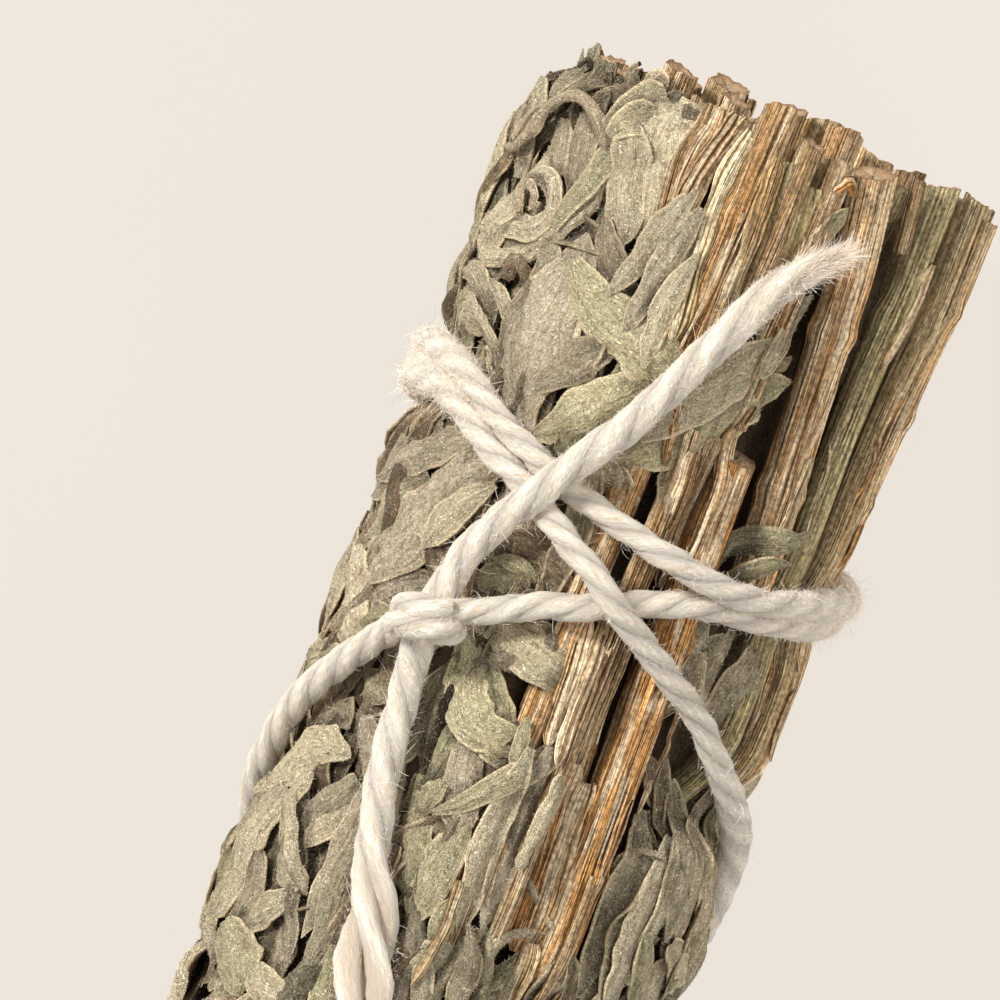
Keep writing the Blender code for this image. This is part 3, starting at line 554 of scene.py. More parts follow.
def bark_material():
    """Ridged bark. tint is greenness, orange and lightness; on the stems the lightness holds their painted
    shade. mark is place round, mm along, a number.
    """
    made, tree, shader = new_material("ridged_bark", 0.75, 0.25)
    mark = attribute(tree, "mark")
    tint = split(tree, attribute(tree, "tint"))
    streaks = noise(tree, scaled(tree, mark, (16.0, 0.045, 7.0)), 1.0, 3.0, 0.6)
    fibres = noise(tree, scaled(tree, mark, (46.0, 0.16, 9.0)), 1.0, 3.0, 0.6)
    patches = noise(tree, scaled(tree, mark, (5.0, 0.16, 5.0)), 1.0, 3.0, 0.6)
    colour = ramp(tree, streaks, [
        (0.36, (0.035, 0.013, 0.005)), (0.42, (0.25, 0.130, 0.053)), (0.48, (0.56, 0.395, 0.225)),
        (0.57, (0.76, 0.605, 0.405)), (0.72, (0.96, 0.83, 0.62)),
    ])
    orange = math_node(tree, "MULTIPLY", stretch(tree, patches, 0.44, 0.54), tint[1], True)
    colour = mix(tree, orange, colour, ramp(tree, fibres, [
        (0.36, (0.07, 0.022, 0.006)), (0.5, (0.46, 0.21, 0.060)), (0.7, (0.76, 0.46, 0.18)),
    ]))
    green = math_node(tree, "MULTIPLY", stretch(tree, fibres, 0.30, 0.6, 0.55, 1.0), tint[0], True)
    colour = mix(tree, green, colour, ramp(tree, streaks, [
        (0.3, (0.15, 0.11, 0.04)), (0.5, (0.38, 0.34, 0.16)), (0.7, (0.60, 0.56, 0.34)),
    ]))
    pitted = noise(tree, own_place(tree), 3000.0, 2.0, 0.6)
    grain = math_node(tree, "MULTIPLY", stretch(tree, fibres, 0.33, 0.60, 0.42, 1.22),
                      stretch(tree, pitted, 0.36, 0.60, 0.62, 1.22))
    # Lightness from tint, which on the stems holds the painted shade on the side facing the bundle's axis
    light = math_node(tree, "MULTIPLY", grain, stretch(tree, tint[2], 0.0, 1.0, 0.90, 2.28))
    tree.links.new(brighter(tree, colour, light), shader.inputs["Base Color"])
    first = bump(tree, pitted, 0.7, 0.00018, bump(tree, streaks, 1.0, 0.0009))
    tree.links.new(bump(tree, fibres, 0.8, 0.00022, first), shader.inputs["Normal"])
    return made


def cut_material():
    """The cut face of a stem, from pale pith to darker rind. mark is the share of the way to the rind."""
    made, tree, shader = new_material("cut_stem", 0.85)
    parts = split(tree, attribute(tree, "mark"))
    rough = noise(tree, own_place(tree), 2600.0, 4.0, 0.7)
    colour = ramp(tree, parts[0], [
        (0.0, (0.66, 0.50, 0.34)), (0.55, (0.58, 0.40, 0.24)), (0.82, (0.46, 0.29, 0.16)),
        (1.0, (0.22, 0.13, 0.07)),
    ])
    colour = mix(tree, stretch(tree, rough, 0.4, 0.7, 0.0, 0.6), colour, rgb(0.20, 0.11, 0.055))
    tree.links.new(colour, shader.inputs["Base Color"])
    tree.links.new(bump(tree, rough, 0.8, 0.0003), shader.inputs["Normal"])
    return made


def twine_material():
    """Soft cotton. mark is the place round the ply, mm along it and the distance from the twine's middle,
    which sets the painted shade between the plies.
    """
    made, tree, shader = new_material("cotton_twine_plies", 0.8, 0.2)
    mark = attribute(tree, "mark")
    parts = split(tree, mark)
    fibres = noise(tree, scaled(tree, mark, (13.0, 0.8, 0.0)), 1.0, 4.0, 0.65)
    patches = noise(tree, scaled(tree, mark, (2.0, 0.25, 0.0)), 1.0, 2.0)
    colour = ramp(tree, fibres, [
        (0.30, (0.66, 0.49, 0.32)), (0.41, (0.88, 0.755, 0.60)), (0.58, (0.97, 0.885, 0.78)),
    ])
    colour = mix(tree, stretch(tree, patches, 0.5, 0.75, 0.0, 0.5), colour, rgb(0.84, 0.72, 0.54))
    # Painted shade: darker towards the twine's middle, in the grooves between the plies
    groove_shade = stretch(tree, parts[2], 0.80, 0.90, 0.30, 0.0)
    colour = mix(tree, groove_shade, colour, rgb(0.62, 0.44, 0.27))
    tree.links.new(colour, shader.inputs["Base Color"])
    shader.inputs["Sheen Weight"].default_value = 0.3
    shader.inputs["Subsurface Weight"].default_value = 0.25
    shader.inputs["Subsurface Radius"].default_value = (0.8, 0.6, 0.4)
    shader.inputs["Subsurface Scale"].default_value = 0.0008
    tree.links.new(bump(tree, fibres, 1.0, 0.00030), shader.inputs["Normal"])
    return made


LEAF = leaf_material()
LEAF_HAIR = hair_material("leaf_hairs", (0.60, 0.53, 0.41), True)
BARK = bark_material()
CUT = cut_material()
TWINE = twine_material()
TWINE_HAIR = hair_material("twine_fluff", (0.90, 0.81, 0.70), False)


# Stems

STEM_SIDES = 30
END_TILT = 0.25
CAP_DEPTH = 0.12
CAP_SHARES = (1.0, 0.8, 0.45, 0.12)

# How many ridges run round a stem, each count with its height as a share of the radius
RIDGES = ((3, 0.05), (5, 0.06), (7, 0.07), (11, 0.055), (14, 0.03))


def stem_cap(pieces, rim, centre, tangent, radius, depth, number, tint, source):
    """The rough face that closes one end of a stem. At the cut end it is sunk by depth."""
    sides = len(rim)
    middle = rim.mean(axis=0)
    rings = [rim]
    for share in CAP_SHARES[1:]:
        rough = source.normal(0, 0.07, sides) * radius
        inner = middle + (rim - middle) * share
        off = ((inner - centre) @ tangent)[:, None] * tangent
        rings.append(inner - off * (1 - share) + tangent * (rough + depth * (1 - share))[:, None])
    shares = np.repeat(CAP_SHARES, sides)
    mark = np.stack([shares, np.zeros_like(shares), np.full_like(shares, number)], -1)
    quads = grid_quads(len(CAP_SHARES), sides, True)
    if depth:
        quads = quads[:, ::-1]
    pieces.add(np.concatenate(rings), quads, mark=mark, tint=tint, material=1)
    rest = np.arange(sides)
    fan = np.stack([np.zeros(sides - 2, int), rest[1:-1], rest[2:]], -1)
    pieces.add(rings[-1], tris=fan, mark=(0.1, 0.0, float(number)), tint=tint, material=1)


def stem_ridges(count, turn, source):
    """How far the bark is raised at each angle of turn, at count points along a stem."""
    ridges = np.zeros((count, len(turn)))
    for k, size in RIDGES:
        phase = source.uniform(0, 6.28) + wander(count, 24, 0.18, source)
        strength = size * (1 + 0.4 * wander(count, 26, 1.0, source))
        ridges += strength[:, None] * np.cos(k * turn[None, :] + phase[:, None])
    return ridges


def splintered(run, turn, radius, source):
    """The mm by which each point is moved along a stem, so that its first end is aslant and splintered."""
    lean = source.uniform(0, 6.28)
    shift = np.exp(-run / 1.2)[:, None] * END_TILT * radius[:, None] * np.cos(turn[None, :] - lean)
    jagged = source.normal(0, 0.13, len(turn)) + 0.10 * np.sin(turn * 3 + lean)
    return shift - np.exp(-run / 0.5)[:, None] * (jagged - jagged.min())[None, :] * 0.5 * min(1.0, radius[0])


def stem_mesh(pieces, points, radii, number, tint, source, nodes_at=(), spacing=0.55, sides=STEM_SIDES,
              painted_shade_offset=-0.05):
    """A ridged stick through the points, with rough end faces and painted shade on the side that faces the
    bundle's axis.

    nodes_at are the mm along it where leaves once grew. The last argument sets how far the painted shade
    reaches: a greater value leaves more of the stick unshaded.
    """
    line, run = resampled(points, spacing)
    radius = np.interp(run, np.linspace(0, run[-1], len(radii)), radii)
    tangent, normal, side = frames(line)
    turn = np.linspace(0, 2 * math.pi, sides, endpoint=False)
    ridges = stem_ridges(len(line), turn, source)
    swell = np.zeros(len(line))
    for at in nodes_at:
        swell += 0.16 * np.exp(-(((run - at) / 0.7) ** 2))
    ring = radius[:, None] * (1.0 + ridges * 0.8 + swell[:, None] - 0.06)
    out = outward_at(line)
    # Painted shade: the lightness falls to a tenth on the side of the stick that faces the bundle's axis
    toward = (np.cos(turn)[None, :] * (normal * out).sum(axis=1)[:, None]
              + np.sin(turn)[None, :] * (side * out).sum(axis=1)[:, None])
    unshaded = np.clip((toward + painted_shade_offset) / 0.5, 0.0, 1.0)[..., None]
    painted_shade_tints = np.array(tint) * (0.10 + 0.90 * unshaded) ** np.array([0, 0, 1.0])
    verts = line[:, None, :] + ring[..., None] * spokes(turn, normal, side)
    verts = verts + splintered(run, turn, radius, source)[..., None] * tangent[:, None, :]
    mark = np.zeros((len(line), sides, 3))
    mark[..., 0] = 0.5 + 0.5 * np.cos(turn)[None, :]
    mark[..., 1] = run[:, None]
    mark[..., 2] = number + 0.35 * np.sin(turn)[None, :]
    pieces.add_grid(verts, mark, painted_shade_tints, closed=True)
    for end, depth in ((0, CAP_DEPTH), (-1, 0.0)):
        stem_cap(pieces, verts[end], line[end], tangent[end], radius[end], depth, number, tint, source)


# The bare stems on the outside, each as its radius, its (d, angle) points, its tint and the mm along it where
# leaves once grew
BARE_STEMS = [
    (1.1, [(-2.0, 1.5), (15, 0), (35, -0.5), (60.5, -0.5)], (0.05, 0.8, 0.5), (7.6,)),
    (0.8, [(-0.6, 11.6), (15, 11.2), (35, 11.0), (60.5, 10.8)], (0.15, 0.5, 0.45), ()),
    (0.85, [(0.0, 20.6), (9, 20.6), (19.0, 20.4)], (0.05, 0.5, 0.35), ()),
    (1.45, [(21.0, 25.5), (40, 27.8), (60.5, 31.0)], (0.0, 1.0, 0.42), (30.0,)),
    (1.4, [(-0.2, 31.0), (10, 37.5), (25, 45.0), (30.8, 46.5)], (0.05, 0.65, 0.5), (11.0, 22.4)),
    (0.5, [(-1.0, 42.3), (4.0, 45.3)], (0.2, 0.6, 0.3), ()),
    (1.1, [(-1.0, 53.5), (10, 54.5), (25, 57.3), (44.5, 59.0)], (0.85, 0.35, 0.55), (9.5,)),
    (0.95, [(-0.7, 65.5), (10, 67.0), (25, 69.0), (44.5, 70.5)], (0.45, 0.5, 0.5), (9.0,)),
    (1.25, [(0.1, 77.5), (25, 80.0), (44.5, 82.0)], (0.2, 0.6, 0.5), (6.5, 21.0)),
    (1.25, [(0.6, 91.0), (25, 93.0), (44.5, 95.0)], (0.1, 0.6, 0.5), (14.0,)),
    (1.1, [(-0.6, 102.5), (25, 104.0), (44.5, 106.5)], (0.3, 0.5, 0.5), ()),
    (1.15, [(0.4, 116.5), (28.5, 117.5)], (0.1, 0.7, 0.45), (8.0,)),
    (1.2, [(0.3, 127.5), (28.5, 128.5)], (0.1, 0.6, 0.5), ()),
    (1.1, [(-0.7, 138.5), (28.5, 139.5)], (0.2, 0.6, 0.45), ()),
]


def stem_top(d, angle):
    """How high the bare stems reach, eased down where the twine presses on them."""
    i, j = cells(d, angle)
    near = np.arange(-9, 10)
    weights = np.exp(-((near * CELL_D / 2.2) ** 2))
    rows = np.clip(i[:, None] + near, 0, ROWS_D - 1)
    beside = np.clip((np.asarray(angle) - 45.0) / 25.0, 0.0, 1.0)
    most = BARE_STEM_TOP + (SIDE_STEM_TOP - BARE_STEM_TOP) * beside
    limit = np.minimum(ceiling[rows, j[:, None]] + 0.5, most[:, None])
    return (limit * weights).sum(axis=1) / weights.sum()


def bare_stems():
    source = np.random.default_rng(3)
    for number, (radius, route, tint, nodes_at) in enumerate(BARE_STEMS, 1):
        rows = smooth_route([(d, a, 0.0) for d, a in route], 12)
        wide = radius * STEM_SWELL
        sunk = 2.6 * np.clip((rows[:, 0] - (route[-1][0] - 5.0)) / 5.0, 0.0, 1.0) ** 2 * (route[-1][0] > 35)
        r = (stem_top(rows[:, 0], rows[:, 1]) - sunk - wide) * flare(rows[:, 0], rows[:, 1])
        points = place(rows[:, 0], rows[:, 1], r)
        radii = [wide * (1.0 - 0.03 * i) for i in range(len(route))]
        pieces = Pieces()
        stem_mesh(pieces, points, radii, number, tint, source, nodes_at)
        name = f"woody_stem_{number:02d}"
        pieces.build("bark_" + name, [BARK, CUT], "woody_stem", [name])
        run = np.linspace(route[0][0], route[-1][0], 400)
        angle = np.interp(run, rows[:, 0], rows[:, 1])
        centre = np.interp(run, rows[:, 0], r)
        for share in np.linspace(-0.9, 0.9, 9):
            r = centre + wide * math.sqrt(1 - share * share)
            raise_heights(run, angle + math.degrees(wide * share / 13.5), r)


# The inner stems stand in rings, each as its radius, its count and the angle of its first stem
INNER_RINGS = ((0.0, 1, 0.0), (3.75, 6, 12.0), (7.6, 11, 5.0))


def inner_stems():
    layout = random.Random(7)
    source = np.random.default_rng(4)
    number = 0
    for ring_radius, count, turn in INNER_RINGS:
        for i in range(count):
            number += 1
            angle = turn + 360.0 * i / count + layout.uniform(-2.0, 2.0)
            radius = layout.uniform(1.3, 1.65)
            start = layout.uniform(-2.2, 1.4)
            end = layout.uniform(84.0, 89.0)
            rows = np.linspace(start, end, 24)
            points = place(rows, angle, ring_radius * taper(rows) * flare(rows, angle))
            tint = (source.uniform(0, 0.4), source.uniform(0.3, 0.9), source.uniform(0.35, 0.6))
            pieces = Pieces()
            radii = [radius * share for share in (1.0, 0.97, 0.92, 0.8)]
            stem_mesh(pieces, points, radii, 40 + number, tint, source, spacing=2.4, sides=22, painted_shade_offset=2.0)
            name = f"inner_stem_{number:02d}"
            pieces.build("bark_" + name, [BARK, CUT], "woody_stem", [name])


bare_stems()
inner_stems()


# Leaves

TONES = {
    "sage": (0.45, 0.0, 0.52),
    "pale": (0.40, 0.0, 0.74),
    "grey": (0.08, 0.0, 0.50),
    "olive": (0.95, 0.0, 0.46),
    "green": (0.80, 0.0, 0.58),
    "dull": (0.30, 0.30, 0.42),
    "brown": (0.20, 0.85, 0.42),
    "tan": (0.10, 0.42, 0.75),
    "dark": (0.40, 0.50, 0.12),
    "shade": (0.20, 0.60, 0.26),
    "rust": (0.0, 1.0, 0.85),
}
BARK_TONES = {
    "tan": (0.05, 0.4, 0.28),
    "dull": (0.2, 0.5, 0.20),
    "grey": (0.1, 0.1, 0.30),
    "brown": (0.0, 0.9, 0.30),
    "dark": (0.0, 0.6, 0.05),
    "olive": (0.7, 0.3, 0.38),
    "pale": (0.15, 0.1, 0.42),
    "sage": (0.4, 0.1, 0.36),
}
PROFILES = {
    "lance": ((0, 0.22), (0.12, 0.55), (0.35, 0.95), (0.6, 1.0), (0.8, 0.72), (0.93, 0.34), (1, 0.03)),
    "oblong": ((0, 0.35), (0.12, 0.75), (0.35, 1.0), (0.65, 1.0), (0.84, 0.74), (0.95, 0.38), (1, 0.04)),
    "ribbon": ((0, 0.65), (0.06, 1.0), (0.88, 0.92), (0.96, 0.7), (1, 0.3)),
    "wedge": ((0, 0.3), (0.3, 0.6), (0.7, 0.92), (0.9, 1.0), (0.97, 0.92), (1, 0.75)),
    "cut": ((0, 0.85), (0.1, 0.92), (0.5, 1.0), (0.75, 0.75), (0.92, 0.35), (1, 0.04)),
}
LEAF_FLOOR = 14.3
LEAF_END = 104.0
KNEE = 1.5
FIRST_LEAF = -0.7
SEEN_ANGLES = (-98.0, 100.0)
SEEN_LENGTH = 72.0
SEEN_COLUMNS = 9
UNSEEN_COLUMNS = 5
SEEN_SPACING = 0.5
UNSEEN_SPACING = 0.9

# A leaf's thin edge turns under along these steps, each as mm outward and mm down
RIM = ((0.07, 0.03), (0.11, 0.11), (0.08, 0.22), (-0.15, 0.30))

# Hairs for each square mm
HAIRS_SEEN = 27.0
HAIRS_UNSEEN = 2.0


def seen(d, angle):
    """Whether the camera sees the bundle at d and angle."""
    angle = (angle + 180.0) % 360.0 - 180.0
    return SEEN_ANGLES[0] < angle < SEEN_ANGLES[1] and d < SEEN_LENGTH


def resting_height(d, angle):
    """What lies under each point, averaged over about a millimetre."""
    total = 0.0
    for shift_d in (-0.8, 0.0, 0.8):
        for shift_a in (-3.0, 0.0, 3.0):
            total = total + heights[cells(d + shift_d, angle + shift_a)]
    return total / 9.0


def blurred(grid, times):
    """The grid, each time averaged with its neighbours."""
    for _ in range(times):
        wide = np.pad(grid, 1, mode="edge")
        grid = (2 * grid + wide[:-2, 1:-1] + wide[2:, 1:-1] + wide[1:-1, :-2] + wide[1:-1, 2:]) / 6.0
    return grid


def packed_height(virtual, d, angle):
    """Flattens stacked layers where they would pass the bundle's form or the twine's underside."""
    top = ceiling[cells(d, angle)]
    floor = np.minimum(LEAF_FLOOR * taper(d) * flare(d, angle), top - 0.9)
    knee = top - KNEE
    eased = knee + KNEE * (1.0 - np.exp(-np.maximum(virtual - knee, 0.0) / KNEE))
    return np.maximum(np.where(virtual < knee, virtual, eased), floor - 0.5), top


def route_line(route, spacing):
    """Points (d, mm round, 0) along a leaf's route, and the mm along it."""
    flat = np.array([(d, math.radians(angle) * LAY_RADIUS, 0.0) for d, angle in route])
    line = smooth_route(flat, 12)
    length = np.linalg.norm(np.diff(line, axis=0), axis=1).sum()
    rows = int(np.clip(length / spacing, 9, 44))
    return resampled(line, length / rows)


def upward_normals(points, outward):
    """Unit normals of a sheet of points, on the side where most of them face outward."""
    normal = np.cross(np.gradient(points, axis=0), np.gradient(points, axis=1))
    normal /= np.linalg.norm(normal, axis=2)[..., None] + 1e-12
    return -normal if (normal * outward).sum() < 0 else normal


def with_rims(points, normal, half):
    """The sheet with a thin edge turned under at both sides, and each column's place across it."""
    inward = np.gradient(points, axis=1)
    inward = inward / (np.linalg.norm(inward, axis=2)[..., None] + 1e-12)
    thin = np.clip(half / 0.7, 0.15, 1.0)[:, None]
    rims = []
    for edge, sign in ((0, -1), (-1, 1)):
        out, down = sign * inward[:, edge], normal[:, edge]
        rims.append([points[:, edge] + (x * out - y * down) * thin for x, y in RIM])
    columns = points.shape[1]
    whole = np.stack(rims[0][::-1] + [points[:, k] for k in range(columns)] + rims[1], axis=1)
    beyond = [1.0 + 0.04 * k for k in range(len(RIM))]
    place_across = np.concatenate([[-m for m in beyond[::-1]], np.linspace(-1, 1, columns), beyond])
    return whole, place_across


def curled(half, roll, columns, source):
    """How far to the side of a leaf's midrib, and how high over it, each of its points lies."""
    rows = len(half)
    c = np.linspace(-1, 1, columns)[None, :]
    uneven = np.stack([1 + 0.09 * wander(rows, 3, 1.0, source) for _ in range(2)], -1)
    scale = half[:, None] * np.where(c < 0, uneven[:, :1], uneven[:, 1:])
    bend = roll if abs(roll) > 0.05 else 0.05
    bend = bend * (1 + 0.25 * wander(rows, 6, 1.0, source))[:, None] / 2
    return scale * np.sin(bend * c) / bend, scale * (np.cos(bend * c) - 1) / bend


def bedded(u, angle):
    """How high a stiff sheet lies on what is under it."""
    under = resting_height(u, angle)
    middle = under.shape[1] // 2
    along_middle = under[:, middle - 1 : middle + 2].mean(axis=1)
    stiff = np.maximum(along_middle[:, None], blurred(under, 3) - 0.15)
    return blurred(0.35 * under + 0.65 * stiff, 5) + 0.36


def wrinkles(half, width, crease, columns, source):
    """The long wrinkles of a leaf, and the groove over its midrib."""
    c = np.linspace(-1, 1, columns)[None, :]
    folds = (5.0 + 2.0 * source.random()) * c
    wrinkle = crease * np.cos(folds + wander(len(half), 7, 0.9, source)[:, None])
    wrinkle = wrinkle - 0.07 * np.exp(-((c / 0.12) ** 2)) * np.minimum(1, width / 2)
    return wrinkle * np.clip(half / 0.8, 0, 1)[:, None]


def blade(batch, route, width, tone, source, shape="lance", roll=1.0, lift=0.2, tilt=0.0, crease=0.10,
          bark=False):
    """One leaf, or strip of bark, lying on what is under it, along a route of (d, angle) from root to tip.

    roll is how far it curls across, in radians, down at the edges where positive. lift raises its middle, and
    tilt one edge, in mm per mm. crease is the depth of its long wrinkles.
    """
    in_view = seen(*route[len(route) // 2])
    route = [(max(d, FIRST_LEAF), angle) for d, angle in route]
    line, run = route_line(route, SEEN_SPACING if in_view else UNSEEN_SPACING)
    columns = SEEN_COLUMNS if in_view else UNSEEN_COLUMNS
    t = run / run[-1]
    stops = np.array(PROFILES[shape])
    half = 0.5 * width * np.interp(t, stops[:, 0], stops[:, 1])
    across, rise = curled(half, roll, columns, source)
    along = np.gradient(line[:, :2], axis=0)
    along /= np.linalg.norm(along, axis=1)[:, None] + 1e-9
    side = np.stack([-along[:, 1], along[:, 0]], -1)
    u = line[:, :1] + side[:, :1] * across
    v = line[:, 1:2] + side[:, 1:2] * across
    angle = np.degrees(v / LAY_RADIUS)
    virtual = bedded(u, angle) + lift * np.sin(np.pi * t)[:, None] ** 1.5 + tilt * across
    virtual = virtual + (0.02 if bark else 0.10) * wander(len(t), 5, 1.0, source)[:, None]
    height, top = packed_height(virtual, u, angle)
    relief = rise + wrinkles(half, width, crease, columns, source)
    if roll > 2.5:
        relief = relief - rise.min(axis=1, keepdims=True) * 0.8
    height = height + relief
    over = np.maximum(height - top, 0)
    height = np.where(over > 0, top + 0.35 * np.tanh(over / 0.35) * (top > 15.2), height)
    own = virtual + np.maximum(rise, 0) + 0.20
    raise_heights(u, angle, own)

    points = place(u, angle, height)
    normal = upward_normals(points, place(u, angle, height + 1.0) - points)
    whole, place_across = with_rims(points, normal, half)
    mark = np.zeros(whole.shape)
    mark[..., 0] = place_across[None, :]
    mark[..., 1] = run[:, None]
    mark[..., 2] = source.uniform(0, 60)
    if bark:
        mark[..., 0] = 0.5 + 0.12 * width * mark[..., 0]
        tint = np.clip(np.array(BARK_TONES[tone]) + source.normal(0, (0.06, 0.2, 0.1)), 0, 1.2)
        batch.strips.add_grid(whole, mark, tint)
        return
    tint = np.clip(np.array(TONES[tone]) + source.normal(0, (0.10, 0.05, 0.10)), 0, 1.2)
    batch.laid.append((len(batch.leaves.tints), u, angle, own))
    batch.leaves.add_grid(whole, mark, tint)
    area = float((2 * half).mean() * run[-1])
    density = HAIRS_SEEN if in_view else HAIRS_UNSEEN
    add_hairs(batch, points, normal, tint, int(area * density), source)


def add_hairs(batch, points, normal, tint, count, source):
    """Short fine hairs, each one thin triangle, scattered on a leaf's upper face and edges."""
    if count < 1:
        return
    rows, columns = points.shape[:2]
    i = source.random(count) * (rows - 1.001)
    j = np.clip(0.5 + 0.5 * np.sin(np.pi * (source.random(count) - 0.5) * 1.15), 0, 1) * (columns - 1.001)
    a, b = i.astype(int), j.astype(int)
    s, q = (i - a)[:, None], (j - b)[:, None]
    root = (points[a, b] * (1 - s) * (1 - q) + points[a + 1, b] * s * (1 - q)
            + points[a, b + 1] * (1 - s) * q + points[a + 1, b + 1] * s * q)
    out = normal[a, b]
    lay = source.normal(0, 1, (count, 3))
    lay -= out * (lay * out).sum(axis=1)[:, None]
    lay /= np.linalg.norm(lay, axis=1)[:, None] + 1e-9
    stand = source.uniform(0.10, 0.75, count)[:, None]
    course = lay + out * stand
    course /= np.linalg.norm(course, axis=1)[:, None]
    length = source.uniform(0.10, 0.30, count)[:, None]
    wide = np.cross(course, out)
    wide /= np.linalg.norm(wide, axis=1)[:, None] + 1e-9
    wide *= source.uniform(0.014, 0.024, count)[:, None]
    verts = np.stack([root - wide, root + wide, root + course * length], axis=1)
    shade = np.clip(tint[None, :] + source.normal(0, (0.05, 0.03, 0.16), (count, 3)), 0, 1.3)
    batch.hairs.add(verts, tris=np.arange(3 * count).reshape(-1, 3), tint=np.repeat(shade, 3, axis=0))


class Batch:
    """The leaves of one sprig, the hairs on them and the strips of bark among them.

    laid holds, for each leaf, its place in the leaves' list and its grid of d, angle and height.
    """

    def __init__(self):
        self.leaves, self.hairs, self.strips = Pieces(), Pieces(), Pieces()
        self.laid = []

    def build(self, label, *stands_for):
        shade_overlaps(self)
        self.leaves.build("leaves_" + label, [LEAF], "dried_leaf", stands_for)
        if self.strips.count:
            self.strips.build("bark_strips_" + label, [BARK], "woody_stem")
        if self.hairs.count:
            self.hairs.build("leaf_hairs_" + label, [LEAF_HAIR], "dried_leaf", smooth=False)


def shade_overlaps(batch):
    """Darkens each leaf where a later one lies over it and just beside that one's edge."""
    for number, d, angle, own in batch.laid:
        near = [heights[cells(d + x, angle + a)] for x in (-0.4, 0.0, 0.4) for a in (-1.5, 0.0, 1.5)]
        shade = np.clip((np.max(near, axis=0) - own - 0.15) / 0.8, 0.0, 1.0)
        shade = np.pad(shade, ((0, 0), (len(RIM), len(RIM))), mode="edge").ravel()
        tints = np.array(batch.leaves.tints[number])
        tints[:, 1] += 0.25 * shade
        tints[:, 2] -= 0.55 * shade
        batch.leaves.tints[number] = tints


# Leaves set one by one, in the order that they lie on each other. Each is its route from root to tip, its
# width, its tone, its shape, and its roll, lift and tilt

